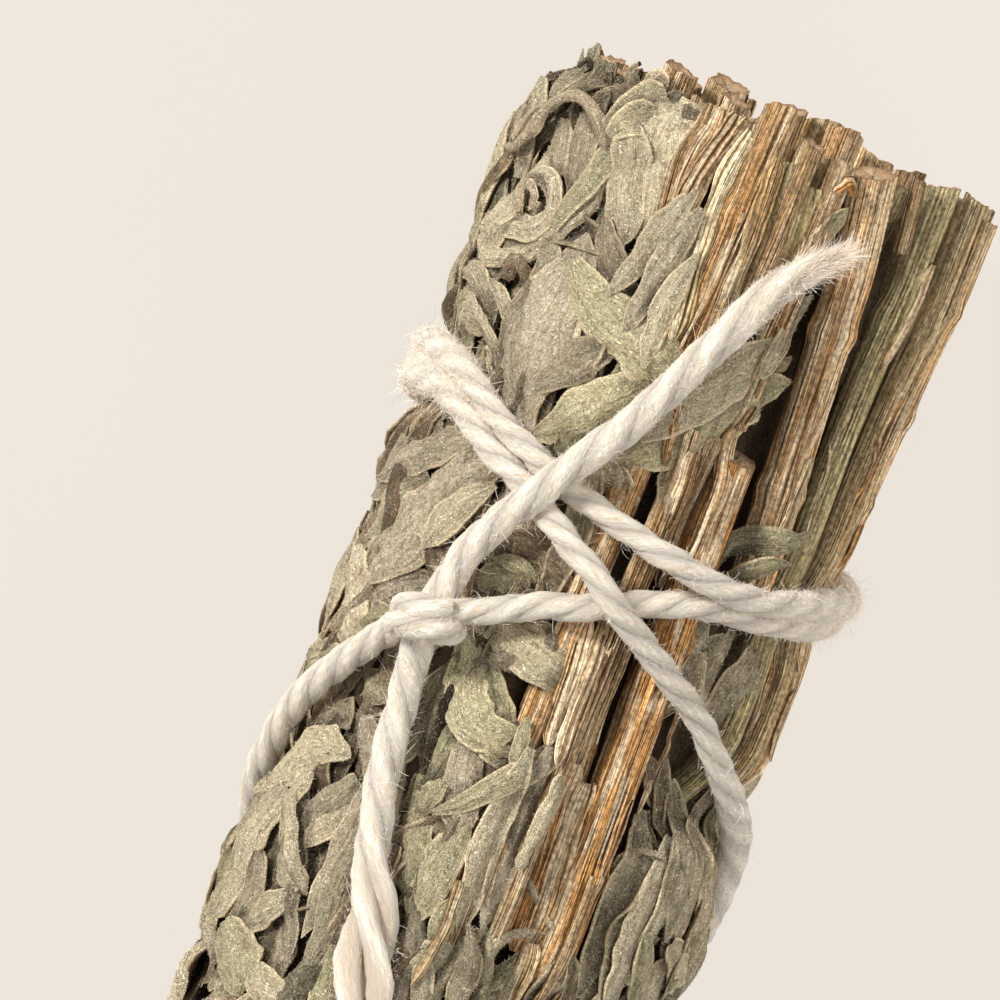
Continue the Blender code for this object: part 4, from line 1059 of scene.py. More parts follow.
UPPER_LEFT = [
    ([(13, -85), (8, -75), (3, -63)], 1.6, "brown", "ribbon", 2.8, 0.2, 0),
    ([(12, -90), (6, -86), (1.5, -84)], 2.8, "dull", "lance", 1.2, 0.3, 0),
    ([(3, -70), (0.5, -72), (-2.2, -76)], 2.6, "sage", "wedge", 1.3, 0.3, 0.2),
    ([(4, -62), (1, -64), (-2.6, -64)], 3.0, "olive", "wedge", 1.2, 0.2, -0.2),
    ([(2.4, -58), (0.4, -57), (-2.0, -54)], 1.8, "dull", "lance", 1.4, 0.2, 0),
    ([(9, -69), (5.5, -72), (2, -82)], 3.0, "sage", "oblong", 1.4, 0.2, 0),
    ([(13, -78), (9, -84), (5, -92)], 3.2, "sage", "lance", 1.0, 0.3, 0),
    ([(13.4, -75), (12.4, -62), (11, -50), (10.5, -42)], 3.3, "sage", "lance", 1.6, 0.1, 0),
    ([(14.6, -66), (9, -60), (4, -58)], 2.8, "sage", "oblong", 1.2, 0.0, 0),
    ([(3, -50), (0, -46), (-1.4, -44)], 2.6, "dull", "wedge", 1.2, 0.3, 0),
    ([(1.0, -42), (-0.4, -38), (-1.6, -32)], 2.2, "tan", "oblong", 1.6, 0.4, 0),
    ([(3.0, -34), (0.9, -30), (-1.4, -27)], 2.2, "dull", "oblong", 1.4, 0.3, 0),
    ([(9.5, -40), (5, -46), (1.0, -48)], 2.6, "dull", "oblong", 1.2, 0.1, 0),
    ([(4, -56), (6, -53), (8.2, -50)], 2.4, "dull", "lance", 1.4, 0.4, 0),
    ([(13, -72), (14.5, -66), (14.5, -60), (13.5, -52), (11.5, -43), (9, -38), (6.5, -37), (5, -36)],
     1.9, "pale", "ribbon", 2.4, 0.5, 0),
    ([(12.6, -62), (11.9, -56), (11.7, -50), (10.5, -45), (9.3, -46), (8.2, -50), (8.3, -57), (9.5, -61),
      (11.2, -57)], 1.7, "pale", "ribbon", 2.2, 0.5, 0),
    ([(11.0, -55), (9.4, -57), (8.9, -54), (9.6, -51), (10.6, -52)], 1.1, "tan", "ribbon", 2.6, 0.8, 0),
    ([(9.4, -58), (12.0, -66), (13.4, -76)], 2.4, "pale", "oblong", 1.8, 0.4, 0),
    ([(7.2, -75), (7, -68), (5, -63), (3, -57), (2.2, -50), (3, -43), (4.5, -38), (5.6, -35.5)],
     1.7, "tan", "ribbon", 3.6, 0.7, 0),
    ([(15.4, -85), (13.8, -79), (12.8, -70)], 2.6, "sage", "oblong", 1.8, 0.2, 0),
    ([(11, -42), (5, -36), (0.2, -31)], 2.6, "olive", "wedge", 1.0, 0.1, 0),
    ([(3.6, -39), (1.8, -36), (0.2, -30)], 2.8, "green", "wedge", -0.8, 0.3, 0.2),
    ([(4.0, -37), (2.6, -33), (1.4, -28.5)], 2.4, "green", "wedge", -0.8, 0.5, 0.1),
    ([(-0.4, -25.5), (2.5, -26), (6.5, -22), (10.8, -18)], 3.9, "pale", "cut", 1.1, 0.3, 0),
    ([(2.5, -32), (6, -29), (10.6, -24.5)], 3.0, "sage", "oblong", 1.4, 0.2, 0),
    ([(9.0, -30), (11.5, -26), (14.0, -20)], 2.5, "dull", "lance", 1.5, 0.4, 0),
    ([(15.5, -56), (14.0, -52), (15.0, -47), (16.6, -45)], 1.8, "brown", "ribbon", 3.2, 0.1, 0),
    ([(14.8, -45), (16.2, -43.5), (17.4, -46), (17.2, -50)], 1.1, "tan", "ribbon", 2.8, 0.6, 0),
    ([(21.5, -82), (18.0, -72), (16.8, -62)], 2.8, "sage", "oblong", 1.4, 0.3, 0),
    ([(16.5, -78), (16.0, -68), (17.2, -60), (18.8, -54)], 2.0, "sage", "lance", 2.0, 0.3, 0),
    ([(20.5, -78), (19.0, -68), (19.2, -58), (21, -50)], 2.4, "pale", "lance", 1.8, 0.3, 0),
    ([(16, -60), (17.0, -52), (18.8, -43)], 1.5, "pale", "lance", 1.8, 0.5, 0),
    ([(17.5, -64), (18.6, -56), (20.5, -48)], 1.3, "pale", "ribbon", 3.0, 0.5, 0),
    ([(22.5, -66), (21.4, -57), (22.4, -49)], 2.2, "sage", "lance", 1.6, 0.3, 0),
    ([(19.5, -52), (22, -48), (24.0, -46)], 1.8, "dull", "lance", 1.6, 0.3, 0),
    ([(12, -42), (16.5, -44), (22, -48)], 1.7, "sage", "ribbon", 1.4, 0.3, 0),
    ([(26.0, -34), (21.5, -38), (16, -36), (10.5, -33)], 5.8, "grey", "lance", 1.1, 0.5, 0),
    ([(25.5, -40), (21.0, -42.5), (17.0, -42)], 2.4, "grey", "oblong", 1.3, 0.3, 0),
    ([(21.5, -31), (19.0, -24), (16.5, -16)], 3.0, "dull", "lance", 1.2, 0.1, 0),
    ([(25.0, -22), (22.0, -14), (18, -6), (16.5, 0)], 3.6, "olive", "lance", 1.0, 0.2, 0),
    ([(24.5, -30), (23.0, -22), (20.5, -12), (17.2, -2)], 3.4, "green", "lance", 0.9, 0.3, 0),
    ([(12.6, -35), (14.0, -28.5), (15.6, -15), (17.0, -2), (19.4, 11)], 3.9, "green", "oblong", 1.1, 0.6, 0),
    ([(24.8, -8), (21.5, 4), (18.5, 15), (16.2, 24), (14.8, 33)], 4.6, "green", "lance", 0.9, 0.9, 0),
    ([(22.0, -2), (18.0, 8), (14.6, 16), (12.2, 21)], 3.2, "pale", "lance", 1.0, 1.0, 0.1),
    ([(23.5, -12), (25.0, -6), (25.6, 0)], 1.8, "green", "lance", 1.2, 0.3, 0),
    ([(26.2, -60), (29.0, -68), (33.0, -80)], 3.6, "sage", "oblong", 1.2, 0.3, 0),
    ([(25.4, -45), (28.0, -58), (31.6, -75)], 3.2, "grey", "lance", 1.4, 0.4, 0),
    ([(30.0, -56), (32.0, -64), (35.6, -73)], 3.2, "pale", "lance", 1.2, 0.3, 0),
    ([(32.0, -54), (35.0, -60), (37.5, -70)], 3.0, "sage", "oblong", 1.4, 0.3, 0),
    ([(26.6, -36), (30.5, -47), (38.2, -58)], 5.6, "grey", "lance", 1.0, 0.5, 0),
    ([(28.6, -34), (31.0, -40), (34.5, -46)], 2.6, "pale", "lance", 1.4, 0.4, 0),
    ([(36.4, -42), (37.6, -48), (39.4, -55)], 3.0, "grey", "oblong", 1.3, 0.4, 0),
    ([(36.5, -76), (40.0, -68), (44.0, -58)], 4.2, "pale", "oblong", 1.3, 0.3, 0),
    ([(35.5, -88), (38.5, -82), (42.0, -76)], 3.0, "sage", "lance", 1.4, 0.3, 0),
    ([(41.0, -60), (40.2, -54), (39.2, -47)], 1.8, "olive", "lance", 1.4, 0.4, 0),
    ([(31.5, -28), (31.3, -20), (31.8, -10)], 2.4, "brown", "oblong", 1.4, 0.0, 0),
    ([(35.2, -28), (34.2, -22), (34.0, -14)], 2.2, "olive", "oblong", 1.6, 0.0, 0),
    ([(33.2, -26), (33.0, -18), (33.6, -12)], 1.4, "olive", "lance", 2.0, 0.2, 0),
    ([(31.8, -14), (32.6, -9), (33.2, -3)], 1.6, "brown", "lance", 1.6, 0.0, 0),
    ([(24.2, -4), (26.0, -1), (27.6, 3)], 2.2, "dull", "lance", 1.4, 0.2, 0),
    ([(27.5, 12), (25.4, 10.5), (23.3, 9)], 1.8, "tan", "wedge", 1.6, 0.6, 0),
    ([(43.0, -26), (46.0, -24), (49.0, -20)], 3.0, "dark", "oblong", 1.2, 0.0, 0),
    ([(42.5, -14), (45.5, -17), (49.6, -20.5)], 3.4, "olive", "oblong", 1.4, 0.3, 0),
    ([(48.6, -23), (52.0, -20), (56.5, -15)], 3.4, "olive", "oblong", 1.2, 0.2, 0),
    ([(51.2, -7), (48.0, -11), (44.6, -14)], 3.0, "grey", "oblong", 1.2, 0.3, 0),
    ([(40.0, -16), (42.5, -12), (45.0, -5), (43.6, 1)], 3.4, "green", "lance", 1.2, 0.4, 0),
    ([(38.2, -29), (39.2, -26), (42.0, -20), (44.2, -12), (43.2, -2)], 3.6, "green", "lance", 1.2, 0.5, 0),
    ([(37.8, -28), (37.2, -20), (37.7, -10), (38.6, 2), (39.6, 11)], 3.8, "green", "lance", 1.1, 0.7, 0),
    ([(42.2, -2), (44.6, -1), (46.5, 1)], 1.2, "green", "lance", 1.4, 0.4, 0),
    ([(48.4, -15), (49.4, -17), (50.4, -20.5)], 2.2, "olive", "wedge", 1.4, 0.4, 0),
    ([(50.6, -15), (49.2, -9), (45.8, 2), (43.2, 9), (41.3, 15.5)], 1.9, "green", "lance", 1.6, 0.9, 0),
    ([(50.4, -6), (53.5, -8.5), (58.4, -10.5)], 3.0, "green", "lance", 1.0, 0.4, 0),
    ([(55.6, -3), (57.5, -3), (59.2, -3.2)], 1.8, "olive", "lance", 1.2, 0.3, 0),
    ([(44, 1.5), (50, 0.5), (58, 2.0)], 2.2, "pale", "lance", 1.3, 0.2, 0),
    ([(43.5, 6), (49, 5.5), (57, 7.0)], 2.0, "grey", "lance", 1.3, 0.2, 0),
    ([(45.0, 12), (48.0, 10.5), (52.0, 9.5)], 1.4, "pale", "ribbon", 2.6, 0.5, 0),
    ([(52.5, 14.5), (54.0, 21), (55.2, 26)], 1.1, "pale", "ribbon", 3.6, 0.9, 0),
    ([(55.4, 26), (56.0, 20), (57.0, 13.5), (58.6, 10.5)], 1.2, "pale", "ribbon", 3.4, 0.9, 0),
    ([(60.4, -17), (60.2, -6), (60.0, 6), (60.0, 19.5)], 3.4, "sage", "lance", 1.1, 0.6, 0),
    ([(53.5, -86), (49.5, -72), (47.0, -58), (47.8, -47)], 3.4, "dull", "lance", 1.5, 0.2, 0),
    ([(54.6, -78), (51.5, -68), (49.6, -56), (49.4, -44)], 4.4, "sage", "lance", 1.6, 0.6, 0),
    ([(46.0, -84), (44.5, -74), (44.5, -64)], 3.0, "sage", "lance", 1.4, 0.2, 0),
    ([(44.0, -56), (44.5, -48), (45.0, -40)], 2.6, "olive", "lance", 1.4, 0.1, 0),
    ([(53.2, -66), (58.0, -70), (63.6, -72)], 4.2, "sage", "oblong", 1.6, 0.4, 0.1),
    ([(54.0, -82), (59.0, -80), (65.0, -84)], 3.0, "olive", "lance", 1.4, 0.2, 0),
    ([(57.0, -57), (54.2, -56), (51.4, -52)], 1.6, "pale", "ribbon", 3.0, 0.4, 0),
    ([(50.6, -40), (53.0, -45), (56.6, -51)], 2.8, "sage", "oblong", 1.8, 0.4, 0),
    ([(52.4, -38), (54.4, -42), (56.4, -46)], 1.8, "pale", "lance", 2.2, 0.4, 0),
    ([(53.5, -56), (55, -50), (57.4, -45), (59.2, -39.5)], 1.9, "pale", "ribbon", 3.0, 0.8, 0),
    ([(56.8, -54), (58.4, -48), (59.2, -41)], 2.0, "sage", "lance", 1.8, 0.5, 0),
    ([(59.4, -42), (61.0, -49), (63.4, -58)], 2.4, "sage", "lance", 1.5, 0.5, 0),
    ([(58.0, -62), (60.5, -60), (64.0, -62)], 2.6, "dull", "oblong", 1.3, 0.2, 0),
    ([(63.5, -64), (64.6, -57), (67.4, -48)], 4.6, "olive", "lance", 1.2, 0.4, 0),
    ([(65.0, -48), (66.2, -40), (66.4, -32)], 3.0, "sage", "lance", 1.4, 0.3, 0),
    ([(50.5, -37), (56.0, -36), (62.0, -37)], 1.8, "pale", "lance", 1.4, 0.2, 0),
    ([(52.5, -33), (58.0, -32), (65.0, -31)], 2.0, "sage", "lance", 1.4, 0.2, 0),
    ([(61.5, -27), (64.0, -24), (68.0, -22)], 2.6, "olive", "lance", 1.3, 0.2, 0),
]

TOP_STRIPS = [
    ([(-1.0, -18), (4, -18.5), (10.2, -16)], 1.0, "tan", "ribbon", 1.4, 0.1, 0),
    ([(-0.8, -15), (5, -15.5), (12.5, -14)], 1.2, "grey", "ribbon", 1.4, 0.1, 0),
    ([(-1.5, -7), (2, -10), (6, -12), (10, -11), (14.5, -7)], 1.6, "pale", "ribbon", 1.8, 0.3, 0),
    ([(-1.0, -10), (3, -12), (8, -14)], 1.2, "tan", "ribbon", 1.6, 0.2, 0),
    ([(0.0, -4), (6, -6), (15, -3)], 1.5, "sage", "ribbon", 1.6, 0.2, 0),
    ([(5.0, -11), (8.6, -15.5), (13.8, -22)], 2.2, "pale", "lance", 1.5, 0.5, 0),
    ([(6.0, -8), (11.0, -12), (16.0, -15)], 2.0, "grey", "lance", 1.5, 0.3, 0),
    ([(9.0, -5), (13.0, -8), (17.5, -7)], 1.8, "pale", "lance", 1.6, 0.4, 0),
    ([(1.0, 7.5), (6, 8.5), (14.5, 8.0)], 1.8, "olive", "ribbon", 1.2, 0.1, 0),
    ([(1.0, 4.5), (8, 5.5), (17.0, 5.5)], 1.2, "dull", "ribbon", 1.4, 0.1, 0),
    ([(2.0, 15.5), (7.5, 16.5), (12.0, 15.5)], 1.3, "olive", "ribbon", 1.4, 0.2, 0),
    ([(7.4, 19.6), (5.0, 22), (2.4, 25)], 1.8, "green", "lance", 1.4, 0.5, 0),
    ([(15.2, 20), (12.0, 24), (8.8, 28.5)], 1.9, "sage", "lance", 1.5, 0.5, 0),
    ([(14.6, 26), (14.0, 28.5), (13.2, 30)], 1.1, "rust", "oblong", 3.0, 0.6, 0),
    ([(1.8, 20), (0.8, 22.5), (1.6, 25)], 1.2, "brown", "ribbon", 3.0, 0.4, 0),
    ([(2.2, 37.5), (6.0, 41.5), (10.2, 47.0)], 1.2, "olive", "lance", 1.6, 0.3, 0),
    ([(20.0, 16), (25.0, 17), (31.0, 19)], 1.2, "grey", "ribbon", 1.6, 0.2, 0),
    ([(19.0, 20), (24.0, 22), (30.5, 23)], 1.3, "tan", "ribbon", 1.6, 0.2, 0),
    ([(21.5, 12), (26, 13.5), (32, 14)], 1.2, "dull", "ribbon", 1.4, 0.1, 0),
    ([(34.5, 3), (38.0, 4), (43.5, 5)], 1.2, "pale", "ribbon", 1.4, 0.2, 0),
    ([(34.0, 8), (39.0, 8), (44.5, 9)], 1.1, "grey", "ribbon", 1.6, 0.2, 0),
    ([(34.5, 13.5), (39.0, 13), (44.0, 14.5)], 1.3, "tan", "ribbon", 1.4, 0.2, 0),
    ([(34.0, 17), (39.0, 17), (45.5, 17.5)], 1.0, "pale", "ribbon", 1.6, 0.1, 0),
    ([(44.0, 14.5), (50.0, 17), (57.5, 18.5)], 1.6, "brown", "ribbon", 1.2, 0.1, 0),
    ([(45.0, 20), (51.0, 21.5), (59.0, 22.5)], 1.4, "dull", "ribbon", 1.4, 0.1, 0),
    ([(56.5, 22), (59.0, 23.5), (62.5, 24)], 1.3, "grey", "ribbon", 1.5, 0.2, 0),
]

RIGHT = [
    ([(29.0, 32), (26.6, 36), (25.2, 43), (24.9, 49), (23.8, 53.5)], 2.3, "olive", "lance", 2.4, 0.9, 0),
    ([(29.4, 37), (27.2, 43), (26.4, 50)], 1.8, "green", "lance", 1.8, 0.6, 0),
    ([(31.4, 36), (34.0, 38), (38.0, 38.5)], 2.6, "sage", "oblong", 1.6, 0.3, 0),
    ([(38.8, 36), (36.2, 42), (32.4, 45)], 3.0, "sage", "oblong", 1.8, 0.5, 0),
    ([(32.0, 49), (35.0, 47.5), (39.5, 48)], 2.2, "pale", "oblong", 1.8, 0.4, 0),
    ([(39.4, 53), (36.2, 52.5), (32.0, 55.5)], 2.4, "sage", "lance", 1.6, 0.4, 0),
    ([(34.0, 40), (36.5, 44), (38.6, 50)], 1.4, "pale", "ribbon", 2.8, 0.6, 0),
    ([(42.0, 36), (43.5, 42), (45.6, 48)], 1.8, "brown", "lance", 1.4, 0.0, 0),
    ([(50.5, 40), (48.5, 40), (48, 46), (49, 49.5)], 1.1, "pale", "ribbon", 3.4, 0.9, 0),
    ([(45.5, 42), (51.0, 42), (59.0, 41)], 2.2, "sage", "lance", 1.4, 0.3, 0),
    ([(46.5, 47), (52.0, 47), (59.5, 46.5)], 2.2, "grey", "lance", 1.5, 0.3, 0),
    ([(46.0, 50.5), (51.0, 51), (57.0, 50.5)], 1.4, "pale", "ribbon", 1.8, 0.3, 0),
    ([(53.2, 49), (55.5, 53), (58.4, 57.5)], 2.0, "olive", "lance", 1.2, 0.5, 0),
    ([(43.8, 51.5), (48.0, 54), (53.4, 58.5)], 2.4, "sage", "lance", 1.4, 0.4, 0),
    ([(45, 57), (49.0, 59), (53.5, 60)], 1.2, "pale", "ribbon", 1.8, 0.3, 0),
    ([(45, 62.5), (49.0, 63.5), (53.5, 64.5)], 1.2, "tan", "ribbon", 1.8, 0.2, 0),
    ([(53.4, 61), (54.6, 70), (57.4, 80)], 2.8, "pale", "lance", 1.3, 0.4, 0),
    ([(46.0, 68), (50.0, 72), (54.4, 78)], 2.4, "tan", "oblong", 1.3, 0.2, 0),
    ([(46.0, 79), (50.0, 82), (55.0, 86)], 2.4, "tan", "oblong", 1.3, 0.2, 0),
    ([(58.0, 62), (62.0, 60), (67.0, 58)], 2.6, "sage", "lance", 1.3, 0.3, 0),
    ([(57.5, 72), (62.0, 73), (68.0, 76)], 2.6, "dull", "lance", 1.3, 0.2, 0),
    ([(60.5, 50), (64.0, 52), (69.0, 54)], 2.4, "sage", "lance", 1.3, 0.2, 0),
]

COAT_TONES = ("sage", "sage", "grey", "olive", "dull", "pale", "green")
# The lower layer of leaves has darker tones than the coat: painted shade, so that it looks dark between the
# leaves laid over it
UNDER_TONES = ("dull", "brown", "grey", "dull", "sage", "shade")


def ruled_leaves(batch, lo, hi, start, end, per_leaf, source, lift=0.2, tones=COAT_TONES):
    """Leaves spread over a sprig by rule, one for each per_leaf square mm."""
    breadth = math.radians(hi - lo) * LAY_RADIUS
    count = int((end - start) * breadth / per_leaf)
    columns = max(2, round(breadth / 4.5))
    rows = math.ceil(count / columns)
    for number in source.permutation(count):
        row, column = divmod(int(number), columns)
        d = start + (end - start) * (row + source.uniform(0.05, 0.95)) / rows
        angle = lo + (hi - lo) * (column + source.uniform(0.1, 0.9)) / columns
        turn = math.radians(source.normal(0, 26))
        length = source.uniform(8.5, 15.5)
        forward = 1 if source.random() < 0.6 else -1
        reach_d = forward * length * math.cos(turn) / 2
        reach_a = math.degrees(length * math.sin(turn) / LAY_RADIUS) / 2
        sway = source.normal(0, 3.5)
        ends = [(d - reach_d, angle - reach_a), (d, angle + sway), (d + reach_d, angle + reach_a)]
        ends = [(min(max(x, start - 1.5), LENGTH - 0.9), min(max(a, lo + 1.5), hi - 1.5)) for x, a in ends]
        shape = source.choice(["lance", "lance", "oblong", "ribbon"])
        width = source.uniform(1.8, 3.2) if shape != "ribbon" else source.uniform(1.1, 1.9)
        roll = source.choice([1.3, 1.7, 2.2, 2.8, -1.2])
        tone = str(source.choice(tones))
        blade(batch, ends, width, tone, source, shape, roll, lift, source.normal(0, 0.10))


def strips_between(batch, lo, hi, start, end, count, source):
    """Torn strips and bark fibres that lie along the stems."""
    for _ in range(count):
        d = source.uniform(start, end - 3)
        angle = source.uniform(lo, hi)
        length = source.uniform(4, 12)
        far = min(d + length, end)
        middle = ((d + far) / 2, angle + source.normal(0, 0.8))
        route = [(d, angle), middle, (far, angle + source.normal(0, 1.0))]
        tone = str(source.choice(["tan", "dull", "grey", "brown", "dark", "brown"]))
        width = source.uniform(0.35, 1.1)
        blade(batch, route, width, tone, source, "ribbon", 1.8, 0.0, crease=0.04, bark=True)


def set_leaves(batch, rows, source, bark_ribbons=False):
    """Lays the leaves of one list. Where bark_ribbons is set, its ribbons are strips of bark."""
    for route, width, tone, shape, roll, lift, tilt in rows:
        bark = bark_ribbons and shape == "ribbon" and tone in BARK_TONES
        blade(batch, route, width, tone, source, shape, roll, lift, tilt, bark=bark)


# Stubs of the sprigs' own stems at the cut end, each as its angle, its radius and the d of its end
CUT_STEMS = [
    (-82, 1.1, 1.0), (-64, 1.2, -0.2), (-47, 1.1, -0.8), (-36, 1.3, -1.9), (-23, 1.0, -0.4),
    (-14, 1.1, -1.4), (157, 1.0, 0.6), (170, 1.0, -0.3), (184, 1.0, 0.2), (199, 1.0, 0.0),
    (212, 1.1, -0.8), (225, 1.1, 0.5), (240, 1.2, -0.4), (252.5, 1.2, 0.6), (265, 1.1, -0.6),
]
THIN_STALKS = 90
CORE_START = 2.5
CORE_END = 103.5
CORE_SHARES = np.array([1.0, 0.93, 0.85, 0.76, 0.66, 0.55, 0.43, 0.30, 0.15, 0.03])[:, None]
TIP_LEAVES = 90


def cut_stems():
    """The short stubs in the leafy sprigs at the cut end, and thin stalks among all the stems."""
    source = np.random.default_rng(8)
    pieces = Pieces()
    for number, (angle, radius, start) in enumerate(CUT_STEMS, 71):
        run = np.linspace(start, 9.0, 12)
        points = place(run, angle, 11.8 * flare(run, angle))
        tint = (source.uniform(0, 0.4), source.uniform(0.3, 0.9), source.uniform(0.35, 0.6))
        stem_mesh(pieces, points, [radius, radius], number, tint, source, sides=22, painted_shade_offset=0.6)
    for number in range(100, 100 + THIN_STALKS):
        run = np.linspace(source.uniform(-0.2, 2.2), 7.0, 5)
        angle = source.uniform(0, 360) + np.linspace(0, 1, 5) * source.normal(0, 3)
        points = place(run, angle, 12.6 * math.sqrt(source.random()) * flare(run, angle))
        radius = source.uniform(0.22, 0.62)
        tint = (source.uniform(0, 0.6), source.uniform(0.3, 0.9), source.uniform(0.2, 0.5))
        stem_mesh(pieces, points, [radius, radius], number, tint, source, spacing=1.6, sides=9, painted_shade_offset=2.0)
    pieces.build("bark_cut_stubs", [BARK, CUT], "woody_stem")


def litter_core():
    """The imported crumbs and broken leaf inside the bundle, seen dark through its gaps."""
    source = np.random.default_rng(5)
    d = np.linspace(CORE_START, CORE_END, 92)
    angle = np.linspace(-180, 180, 101)[:-1]
    dd, aa = np.meshgrid(d, angle, indexing="ij")
    r = np.where(leafy(dd, aa) > 0, 13.8, 10.6)
    r = blurred(r, 2) + source.normal(0, 0.28, r.shape)
    r = np.minimum(r, 15.0) * taper(dd) * flare(dd, aa)
    pieces = Pieces()
    mark = np.stack([np.cos(np.radians(aa)) * 2, dd, np.sin(np.radians(aa)) * 2], -1)
    # Dark brown: the crumbs' own brown, with painted shade lowering its lightness for the gaps between the
    # stems
    tint = (0.2, 0.9, 0.12)
    pieces.add_grid(place(dd, aa, r), mark, tint, closed=True)
    shares = CORE_SHARES
    for end, step in ((0, 0.5), (-1, 0.6)):
        rough = source.normal(0, 0.15, (len(shares), len(angle))) * (shares < 1)
        depth = d[end] + step * (1 - shares**2) + rough
        face = place(depth, angle[None, :], r[end][None, :] * shares)
        crumbs = np.stack([np.broadcast_to(shares * 9, depth.shape), depth, aa[: len(shares)] / 6], -1)
        pieces.add_grid(face, crumbs, tint, closed=True)
    pieces.build("litter_core", [LEAF], "dried_leaf")


def tip_blades(batch, source):
    """Leaves folded in over the bundle's far end, towards its axis."""
    t = np.linspace(0, 1, 16)[:, None]
    c = np.linspace(-1, 1, 7)[None, :]
    for number in range(TIP_LEAVES):
        a = source.uniform(0, 2 * math.pi)
        outer = source.uniform(5.5, 10.5)
        reach = source.uniform(0.0, 4.0)
        half = source.uniform(0.9, 1.8) * np.sin(np.pi * (0.18 + 0.82 * t)) ** 0.7
        r = outer + (reach - outer) * t + 0 * c
        s = half * c + 1.2 * source.normal() * t**2
        lie = 102.4 + 1.7 * (1 - (r / 11.0) ** 2) + 0.011 * number
        d = np.minimum(lie + 0.30 * (1 - c**2) + 0.06 * np.cos(5 * c + 3 * t), 105.15)
        x = HALF_LENGTH - d + CAD_SHIFT[0]
        y = CAD_SHIFT[1] - (r * math.sin(a) + s * math.cos(a))
        z = AXIS_HEIGHT + r * math.cos(a) - s * math.sin(a)
        points = np.stack([x, y, z], -1)
        mark = np.stack(np.broadcast_arrays(c, t * 8, source.uniform(0, 60)), -1)
        tint = np.clip(np.array(TONES["sage"]) + source.normal(0, (0.2, 0.08, 0.12)), 0, 1)
        batch.leaves.add_grid(points, mark, tint)
        normal = np.broadcast_to([-1.0, 0.0, 0.0], points.shape)
        add_hairs(batch, points, normal, tint, 80, source)


def all_leaves():
    """Every sprig's leaves, from the lowest to the topmost."""
    source = np.random.default_rng(21)
    for name in ("lower_right", "under_right", "under", "under_left", "left"):
        lo, hi, start = SPRIGS["leafy_sprig_" + name]
        low = Batch()
        ruled_leaves(low, lo, hi, max(start - 4.0, 0.5), LEAF_END, 11.0, source)
        if name == "lower_right":
            strips_between(low, 78, 112, 0, 46, 8, source)
        low.build(name, "leafy_sprig_" + name)

    left = Batch()
    ruled_leaves(left, -88, -3, 66.0, LEAF_END, 12.0, source)
    ruled_leaves(left, -89, -22, 1.5, 67.0, 15.0, source, 0.1, UNDER_TONES)
    ruled_leaves(left, -24, -3, 14.0, 67.0, 17.0, source, 0.1, UNDER_TONES)
    set_leaves(left, UPPER_LEFT, source)
    left.build("upper_left", "leafy_sprig_upper_left")

    top = Batch()
    ruled_leaves(top, -5, 40, 58.0, LEAF_END, 12.0, source)
    strips_between(top, -4, 40, -0.5, 62, 22, source)
    set_leaves(top, TOP_STRIPS, source, True)
    top.build("top", "leafy_sprig_top")

    right = Batch()
    ruled_leaves(right, 40, 76, 43.0, LEAF_END, 12.0, source)
    strips_between(right, 40, 78, 0, 46, 9, source)
    set_leaves(right, RIGHT, source)
    right.build("right", "leafy_sprig_right")

    tips = Batch()
    tip_blades(tips, source)
    tips.build("tips", "leafy_tips")


litter_core()
cut_stems()
all_leaves()


# Twine

PLY_SIDES = 12
TWINE_STEP = 0.5


def ply_meshes(pieces, points, width, pitch, source, spread=(0.30,), squash=(0.0,)):
    """Three plies laid round the line of points.

    width is the twine's radius, pitch the mm in which they go round once, spread how far they stand apart,
    and squash how flat they lie. Each is a list of values spaced evenly along the line.
    """
    line, run = resampled(points, TWINE_STEP)
    size, lay, apart, flat = (
        np.interp(run, np.linspace(0, run[-1], len(values)), values)
        for values in (width, pitch, spread, squash)
    )
    flat = flat[:, None, None]
    outward = outward_at(line)
    _, normal, side = frames(line)
    turns = np.cumsum(np.gradient(run) / lay) * 2 * math.pi
    ring = np.linspace(0, 2 * math.pi, PLY_SIDES, endpoint=False)
    for ply in range(3):
        phase = turns + ply * 2 * math.pi / 3
        reach = apart * size * (1 + 0.08 * wander(len(line), 9, 1.0, source))
        centre = line + reach[:, None] * (np.cos(phase)[:, None] * normal + np.sin(phase)[:, None] * side)
        thick = size[:, None] * (1.08 - apart[:, None] + 0.03 * wander(len(line), 6, 1.0, source)[:, None])
        thick = thick * (1 + 0.05 * np.cos(3 * ring[None, :] + 3.0 * run[:, None] + ply))
        thick = thick * (1 + source.normal(0, 0.012, thick.shape))
        verts = centre[:, None, :] + thick[..., None] * spokes(ring, normal, side)
        # The distance from the twine's middle as a share of its radius, which sets the painted shade in the
        # grooves between the plies
        away = np.linalg.norm(verts - line[:, None, :], axis=2) / (1.09 * size[:, None])
        lifted = ((verts - line[:, None, :]) * outward[:, None, :]).sum(axis=2)[..., None]
        verts = verts - flat * lifted * outward[:, None, :]
        mark = np.zeros((len(line), PLY_SIDES, 3))
        spin = ring[None, :] - phase[:, None]
        mark[..., 0] = np.cos(spin) + 3.0 * ply
        mark[..., 1] = run[:, None] + 1.2 * np.sin(spin)
        mark[..., 2] = away
        pieces.add_grid(verts, mark, closed=True)
        for end in (0, -1):
            rest = np.arange(PLY_SIDES)
            fan = np.stack([np.zeros(PLY_SIDES - 2, int), rest[1:-1], rest[2:]], -1)
            pieces.add(verts[end], tris=fan, mark=mark[end])
    return line, run, size


